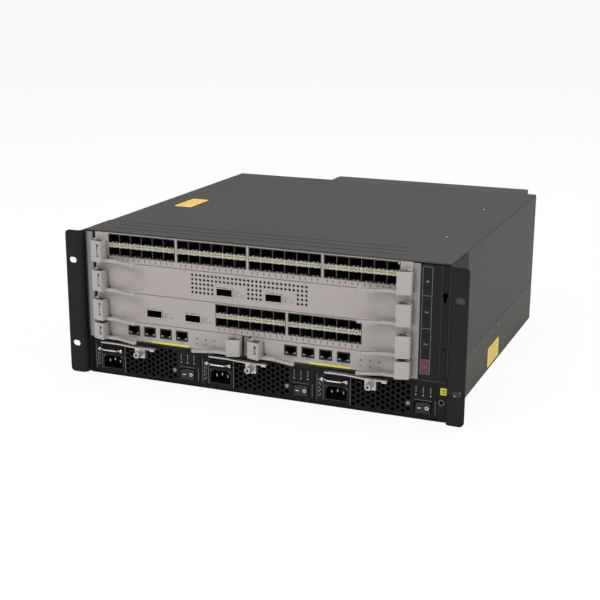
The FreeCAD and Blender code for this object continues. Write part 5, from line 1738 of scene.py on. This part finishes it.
@dataclass(frozen=True)
class PowerModuleLook:
    """What is pierced, printed and fitted on one power module."""

    number: int
    face_thick: float = 1.5
    head_radius: float = 4.0
    head_long: float = 9.0
    shank_radius: float = 1.5
    thread_root: float = 0.82
    thread_steps: int = 13
    cross: Span = (1.7, 0.4)
    bail: Tuple[float, float, float] = (11.6, 37.2, 29.6)
    bail_wire: float = 0.9
    bail_in: float = 3.6
    bail_bend: float = 1.6
    sleeve: Tuple[Span, ...] = ((0.0, 1.2), (0.0, 2.2), (0.3, 2.45), (3.0, 2.45),
                                (3.3, 2.2), (3.3, 1.2))
    lights: Tuple[float, ...] = (116.6, 124.8, 133.0)
    light_level: float = 25.6
    ring: Tuple[Span, ...] = ((0.0, 2.3), (0.3, 2.3), (0.5, 2.05), (0.5, 1.5), (0.15, 1.35))
    blade_deep: float = 3.8
    blade_step: float = 7.0
    blade_lift: float = 2.0
    rocker: Tuple[float, float, float] = (124.5, -4.0, 11.7)
    rocker_half: float = 8.2
    rocker_dip: float = 1.4
    mark_across: float = 4.1
    mark_out: float = 5.8
    mark_ring: Span = (1.2, 2.0)
    mark_bar: Span = (1.9, 0.45)
    mark_skin: float = 0.1
    tilt: float = 8.0

    def dress(self) -> None:
        """Add the module's pieces."""
        name = "power_%d" % self.number
        module = Module.of(name, name + "_case", POWER_FACE)
        self._case(module)
        self._print(module)
        self._thumbscrew(module)
        self._bail(module)
        softened(name + "_lever", 0.3 * MM, Finish.lever_steel, name + "_lever_strip")
        softened(name + "_rocker", 0.4 * MM, Finish.rocker_plastic, name + "_rocker_cap")
        self._rocker_marks(module)
        self._inlet(module)

    def _case(self, module: Module) -> None:
        """Replace the case by a copy whose face carries the fine air holes.

        Args:
            module: The power module.
        """
        grille = Grille()
        left, right, low, high = grille.edges()
        front, back = module.face, module.face + self.face_thick * MM
        x0, x1 = module.left + left * MM, module.left + right * MM
        z0, z1 = module.low + low * MM, module.low + high * MM
        forms = Forms(Finish.power_paint)
        forms.keep(*opened(module.name + "_case", (x0, front - MM, z0),
                           (x1, back + 0.2 * MM, z1)))
        angle = np.radians(np.arange(6) * 60.0)
        reach = grille.across / math.sqrt(3.0)
        holes = [np.stack([module.left + (x + reach * np.cos(angle)) * MM,
                           module.low + (z + reach * np.sin(angle)) * MM], axis=1)
                 for x, z in grille.spots()]
        forms.keep(*pierced_sheet(x0, x1, z0, z1, holes, front, back))
        forms.piece(module.name + "_case_pierced", module.name, "power_paint",
                    module.name + "_case")

    def _print(self, module: Module) -> None:
        """Print the lines, lights and legends of the face, and set the ring in it.

        Args:
            module: The power module.
        """
        marks = Forms(Finish.grey_print, Finish.pale_print)
        module.marks(marks, [(2.4, 4.0, 0.4, 30.0), (9.8, 4.0, 0.4, 30.0),
                             (41.4, 2.5, 0.5, 34.0), (138.2, 5.0, 0.35, 16.0),
                             (114.4, 19.9, 20.2, 0.35)])
        module.marks(marks, [(4.6, 8.0 + 4.6 * n, 1.0, 2.6) for n in range(5)])
        module.marks(marks, [(6.9, 9.0 + 5.8 * n, 0.6, 3.0) for n in range(4)])
        for across in self.lights:
            module.studs(marks, [(across, self.light_level)], 0.75, 0.25, 12, 1)
            module.marks(marks, [(across - 0.45, 28.2 + 1.9 * n, 0.9, 1.3)
                                 for n in range(4)])
        across, up = Grille().ring()
        marks.turned([(out * MM, radius * MM) for out, radius in self.ring],
                     [module.spot(across, 0.0, up)], OUTWARD, 24)
        marks.piece(module.name + "_print", module.name, "power_paint")

    def _inlet(self, module: Module) -> None:
        """Tip the inlet's three blades with bright metal.

        Args:
            module: The power module.
        """
        low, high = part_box(module.name + "_inlet")
        middle, level = (low.x + high.x) / 2, (low.z + high.z) / 2
        depth = module.face + self.blade_deep * MM
        forms = Forms(Finish.nickel)
        for step, lift in ((-1, 0.0), (0, self.blade_lift), (1, 0.0)):
            x, z = middle + step * self.blade_step * MM, level + lift * MM
            forms.boxes([(x - 0.6 * MM, depth, z - 1.5 * MM)],
                        [(x + 0.6 * MM, depth + 3.0 * MM, z + 1.5 * MM)], 0, 0.2 * MM)
        forms.piece(module.name + "_blade_tips", module.name, "nickel")

    def _thumbscrew(self, module: Module) -> None:
        """Replace the captive screw by one with a knurled head and a drive cross.

        Args:
            module: The power module.
        """
        body = module.name + "_thumbscrew"
        low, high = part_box(body)
        x, z = (low.x + high.x) / 2, (low.z + high.z) / 2
        long, shank = self.head_long * MM, self.shank_radius * MM
        head_end = low.y + long
        forms = Forms(Finish.nickel, Finish.black_insert, Finish.rivet_steel)
        steps = np.linspace(0.1, 0.9, self.thread_steps) * (high.y - head_end)
        thread = [(along, shank * (1.0 if n % 2 else self.thread_root))
                  for n, along in enumerate(steps)]
        forms.turned([(0.0, 0.7 * shank), *thread, (high.y - head_end, shank)],
                     [(x, high.y, z)], OUTWARD, 16)
        forms.turned(knurled(self.head_radius * MM, long, 0.78, (0.97, 0.86), (1.0, 0.66)),
                     [(x, head_end, z)], OUTWARD, KNURLS, 0, False, KNURL_DEPTH)
        forms.turned([(0.0, 2.2 * MM), (0.03 * MM, 2.0 * MM)],
                     [(x, low.y + 0.02 * MM, z)], OUTWARD, 24, 2)
        # Painted shade: a black cross stands in for the shade in the drive recess.
        for a, b in (self.cross, self.cross[::-1]):
            forms.boxes([(x - a * MM, low.y - 0.03 * MM, z - b * MM)],
                        [(x + a * MM, low.y + 0.1 * MM, z + b * MM)], 1)
        forms.piece(body + "_knurled", body, "nickel", body)

    def _bail(self, module: Module) -> None:
        """Replace the bail by a bent round wire, and sleeve its two ears.

        Args:
            module: The power module.
        """
        body = module.name + "_bail"
        low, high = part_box(body)
        first, last, level = self.bail
        wire = self.bail_wire * MM
        y, z, reach = high.y - wire, (low.z + high.z) / 2, low.y + wire
        left = module.left + (first + self.bail_in) * MM
        right = module.left + (last - self.bail_in) * MM
        forms = Forms(Finish.nickel)
        forms.keep(*swept_tube([(low.x, y, z), (left, y, z), (left, reach, z),
                                (right, reach, z), (right, y, z), (high.x, y, z)],
                               wire, self.bail_bend * MM), 0, True)
        forms.piece(body + "_wire", body, "nickel", body)
        sleeves = Forms(Finish.nickel)
        for start in (first - 3.15, last - 0.15):
            sleeves.turned([(along * MM, radius * MM) for along, radius in self.sleeve],
                           [module.spot(start, 3.4, level)], (1, 0, 0), 20)
        sleeves.piece(body + "_sleeves", module.name, "nickel")

    def _rocker_marks(self, module: Module) -> None:
        """Print the plain bar and ring on the two slopes of the rocker.

        Args:
            module: The power module.
        """
        body = module.name + "_rocker"
        turn = Matrix.Rotation(math.radians(self.tilt), 4, "Z")
        forms, bar, skin = Forms(Finish.white_print), Forms(), self.mark_skin * MM
        count = 24
        angle = np.linspace(0.0, 2.0 * np.pi, count, endpoint=False)
        ring = np.stack([np.cos(angle), np.zeros(count), np.sin(angle)], axis=1)
        inner, outer = (radius * MM * ring for radius in self.mark_ring)
        deep = np.array([0.0, skin, 0.0])
        points = np.vstack([outer - deep, inner - deep, outer + deep, inner + deep])
        step, after = np.arange(count), (np.arange(count) + 1) % count
        # the four rings are numbered one after another: outer, inner, and both again behind
        faces = np.concatenate([
            np.stack([a * count + step, a * count + after, b * count + after,
                      b * count + step], axis=1)
            for a, b in ((0, 1), (2, 0), (1, 3), (3, 2))])
        wide, tall = (value * MM for value in self.mark_bar)
        bar.boxes([(-wide, -skin, -tall)], [(wide, skin, tall)])
        dip = math.atan2(self.rocker_dip, self.rocker_half)
        for side, spots, shape in ((-1, np.vstack(bar.points), bar.faces),
                                   (1, points, faces[:, ::-1])):
            middle = Vector((side * self.mark_across * MM, -self.mark_out * MM, 0.0))
            whole = np.array(Matrix.Translation(module.spot(*self.rocker)) @ turn
                             @ Matrix.Translation(middle)
                             @ Matrix.Rotation(-side * dip, 4, "Z"))
            forms.keep(spots @ whole[:3, :3].T + whole[:3, 3], shape)
        forms.piece(body + "_print", body, "rocker_plastic")


@dataclass(frozen=True)
class FanTrayLook:
    """The tray's four knurled screws."""

    head_radius: float = 4.5
    head_long: float = 7.0
    shank_radius: float = 1.7
    slot_half: Span = (2.4, 0.45)

    def dress(self) -> None:
        """Add the tray's pieces."""
        low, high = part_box("tray_screws")
        radius, long = self.head_radius * MM, self.head_long * MM
        shank, rear = self.shank_radius * MM, (0, 1, 0)
        wide, tall = (value * MM for value in self.slot_half)
        centres = [(x, high.y - long, z) for x in (low.x + radius, high.x - radius)
                   for z in (low.z + radius, high.z - radius)]
        forms = Forms(Finish.nickel, Finish.black_insert)
        forms.turned(knurled(radius, long, 0.8, (1.0, 0.7)), centres, rear, KNURLS, 0,
                     False, KNURL_DEPTH)
        forms.turned([(0.0, shank), (high.y - long - low.y, shank)],
                     [(x, low.y, z) for x, _, z in centres], rear, 14)
        # Painted shade: a black bar stands in for the shade in each screw's slot.
        for x, _, z in centres:
            forms.boxes([(x - wide, high.y - 0.1 * MM, z - tall)],
                        [(x + wide, high.y + 0.02 * MM, z + tall)], 1)
        forms.piece("tray_screws_knurled", "fan_tray", "nickel", "tray_screws")


# ----------------------------------------------------------------------------------------
# Studio
# ----------------------------------------------------------------------------------------
@dataclass(frozen=True)
class Lamp:
    """One soft area lamp."""

    name: str
    place: Point
    target: Point
    size: float
    power: float


@dataclass(frozen=True)
class Studio:
    """Floor, pale surroundings, soft lamps and the camera."""

    azimuth: float = 22.17
    elevation: float = 15.46
    roll: float = 0.26
    distance: float = 1.55
    target: Point = (-0.0388, 0.005, 0.0524)
    lens: float = 71.5
    sensor: float = 36.0
    nearest: float = 0.01
    world_level: float = 0.5
    floor_glow: float = 0.9
    floor_colour: Colour = (0.9, 0.9, 0.9, 1.0)
    floor_reach: float = 150.0
    floor_drop: float = 0.0002
    lamps: Tuple[Lamp, ...] = (
        Lamp("key", (-1.1, -1.9, 2.2), (0.0, 0.0, 0.1), 1.6, 33.0),
        Lamp("side", (2.2, -0.6, 1.5), (0.0, 0.0, 0.1), 1.6, 22.0),
        Lamp("top", (0.2, 0.5, 2.6), (0.0, 0.1, 0.1), 2.0, 34.0))

    def build(self) -> None:
        """Make the whole studio."""
        self._world()
        self._floor()
        for lamp in self.lamps:
            self._lamp(lamp)
        self._camera()
        bpy.context.scene.view_settings.view_transform = "Standard"

    def _rays(self, graph: Graph) -> List[Wire]:
        """Read whether a ray comes from the camera, and whether through something clear.

        Args:
            graph: The node tree.

        Returns:
            The two values, each 0 or 1.
        """
        path = graph.node("ShaderNodeLightPath")
        return [Wire(graph, path.outputs[name])
                for name in ("Is Camera Ray", "Is Transmission Ray")]

    def _shared(self, graph: Graph, share: Wire, shaders: Sequence[bpy.types.Node],
                out: str) -> None:
        """Mix two shaders and finish the tree.

        Args:
            graph: The node tree.
            share: The second shader's share.
            shaders: The two shaders.
            out: The output node's Blender type.
        """
        first, second = (Wire(graph, shader.outputs[0]) for shader in shaders)
        mix = graph.node("ShaderNodeMixShader", None, {0: share, 1: first, 2: second})
        graph.node(out, None, {"Surface": Wire(graph, mix.outputs[0])})

    def _world(self) -> None:
        """Light the object evenly, and look plain white itself.

        The white's share is the greater of the two ray values.
        """
        graph = Graph(bpy.data.worlds.new("surroundings"))
        seen = graph.maths("MAXIMUM", *self._rays(graph))
        shaders = [graph.node("ShaderNodeBackground", None,
                              {"Color": WHITE, "Strength": level})
                   for level in (self.world_level, 1.0)]
        self._shared(graph, seen, shaders, "ShaderNodeOutputWorld")
        bpy.context.scene.world = graph.owner

    def _floor(self) -> None:
        """Lay a pale floor that keeps soft shadows.

        The glow's share is the sum of the two ray values times the floor's glow.
        """
        graph = Graph(bpy.data.materials.new("studio_floor"))
        camera, clear = self._rays(graph)
        diffuse = graph.node("ShaderNodeBsdfDiffuse", None, {"Color": self.floor_colour})
        glow = graph.node("ShaderNodeEmission", None, {"Color": WHITE, "Strength": 1.0})
        self._shared(graph, (camera + clear) * self.floor_glow, [diffuse, glow],
                     "ShaderNodeOutputMaterial")
        mesh = bpy.data.meshes.new("studio_floor")
        mesh.from_pydata([(x * self.floor_reach, y * self.floor_reach, -self.floor_drop)
                          for x, y in ((-1, -1), (1, -1), (1, 1), (-1, 1))], [],
                         [(0, 1, 2, 3)])
        mesh.materials.append(graph.owner)
        floor = bpy.data.objects.new("studio_floor", mesh)
        bpy.context.scene.collection.objects.link(floor)

    def _lamp(self, lamp: Lamp) -> None:
        """Hang one lamp.

        Args:
            lamp: The lamp.
        """
        data = bpy.data.lights.new(lamp.name, "AREA")
        data.shape, data.size, data.energy = "DISK", lamp.size, lamp.power
        holder = bpy.data.objects.new(lamp.name, data)
        way = Vector(lamp.target) - Vector(lamp.place)
        holder.matrix_world = (Matrix.Translation(lamp.place)
                               @ way.to_track_quat("-Z", "Y").to_matrix().to_4x4())
        bpy.context.scene.collection.objects.link(holder)

    def _camera(self) -> None:
        """Stand the camera at its distance from the target, and roll it a little."""
        turn, lift = math.radians(self.azimuth), math.radians(self.elevation)
        back = Vector((math.sin(turn) * math.cos(lift), -math.cos(turn) * math.cos(lift),
                       math.sin(lift)))
        data = bpy.data.cameras.new("camera")
        data.lens, data.sensor_width, data.clip_start = self.lens, self.sensor, self.nearest
        camera = bpy.data.objects.new("camera", data)
        camera.matrix_world = (Matrix.Translation(Vector(self.target) + self.distance * back)
                               @ (-back).to_track_quat("-Z", "Y").to_matrix().to_4x4()
                               @ Matrix.Rotation(math.radians(self.roll), 4, "Z"))
        bpy.context.scene.collection.objects.link(camera)
        bpy.context.scene.camera = camera


def repaint_frame() -> None:
    """Give every CAD node the detailed finish of its own material slot."""
    slots = {row["node"]: row["material_slot"] for row in frame["record"]["subparts"]}
    slots["wrist_strap_jack"] = "dark_nickel"
    for node, made in frame["nodes"].items():
        material = Finish[slots[node]].material()
        for place in made.material_slots:
            place.material = material
        if not made.material_slots:
            made.data.materials.append(material)


def main() -> None:
    """Dress the frame and build the studio round it."""
    logging.basicConfig(level=logging.INFO)
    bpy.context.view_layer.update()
    repaint_frame()
    ChassisLook().dress()
    LineCardLook(1, (18.0, 107.0, 196.0, 285.0)).dress()
    LineCardLook(2, (), (155.7, 215.8)).dress()
    LineCardLook(3, (154.3, 243.3), (65.9, 115.6)).dress()
    for number in (1, 2):
        ControlCardLook(number).dress()
    for number in (1, 2, 3):
        PowerModuleLook(number).dress()
    FanTrayLook().dress()
    Studio().build()


if __name__ == "__main__":
    main()
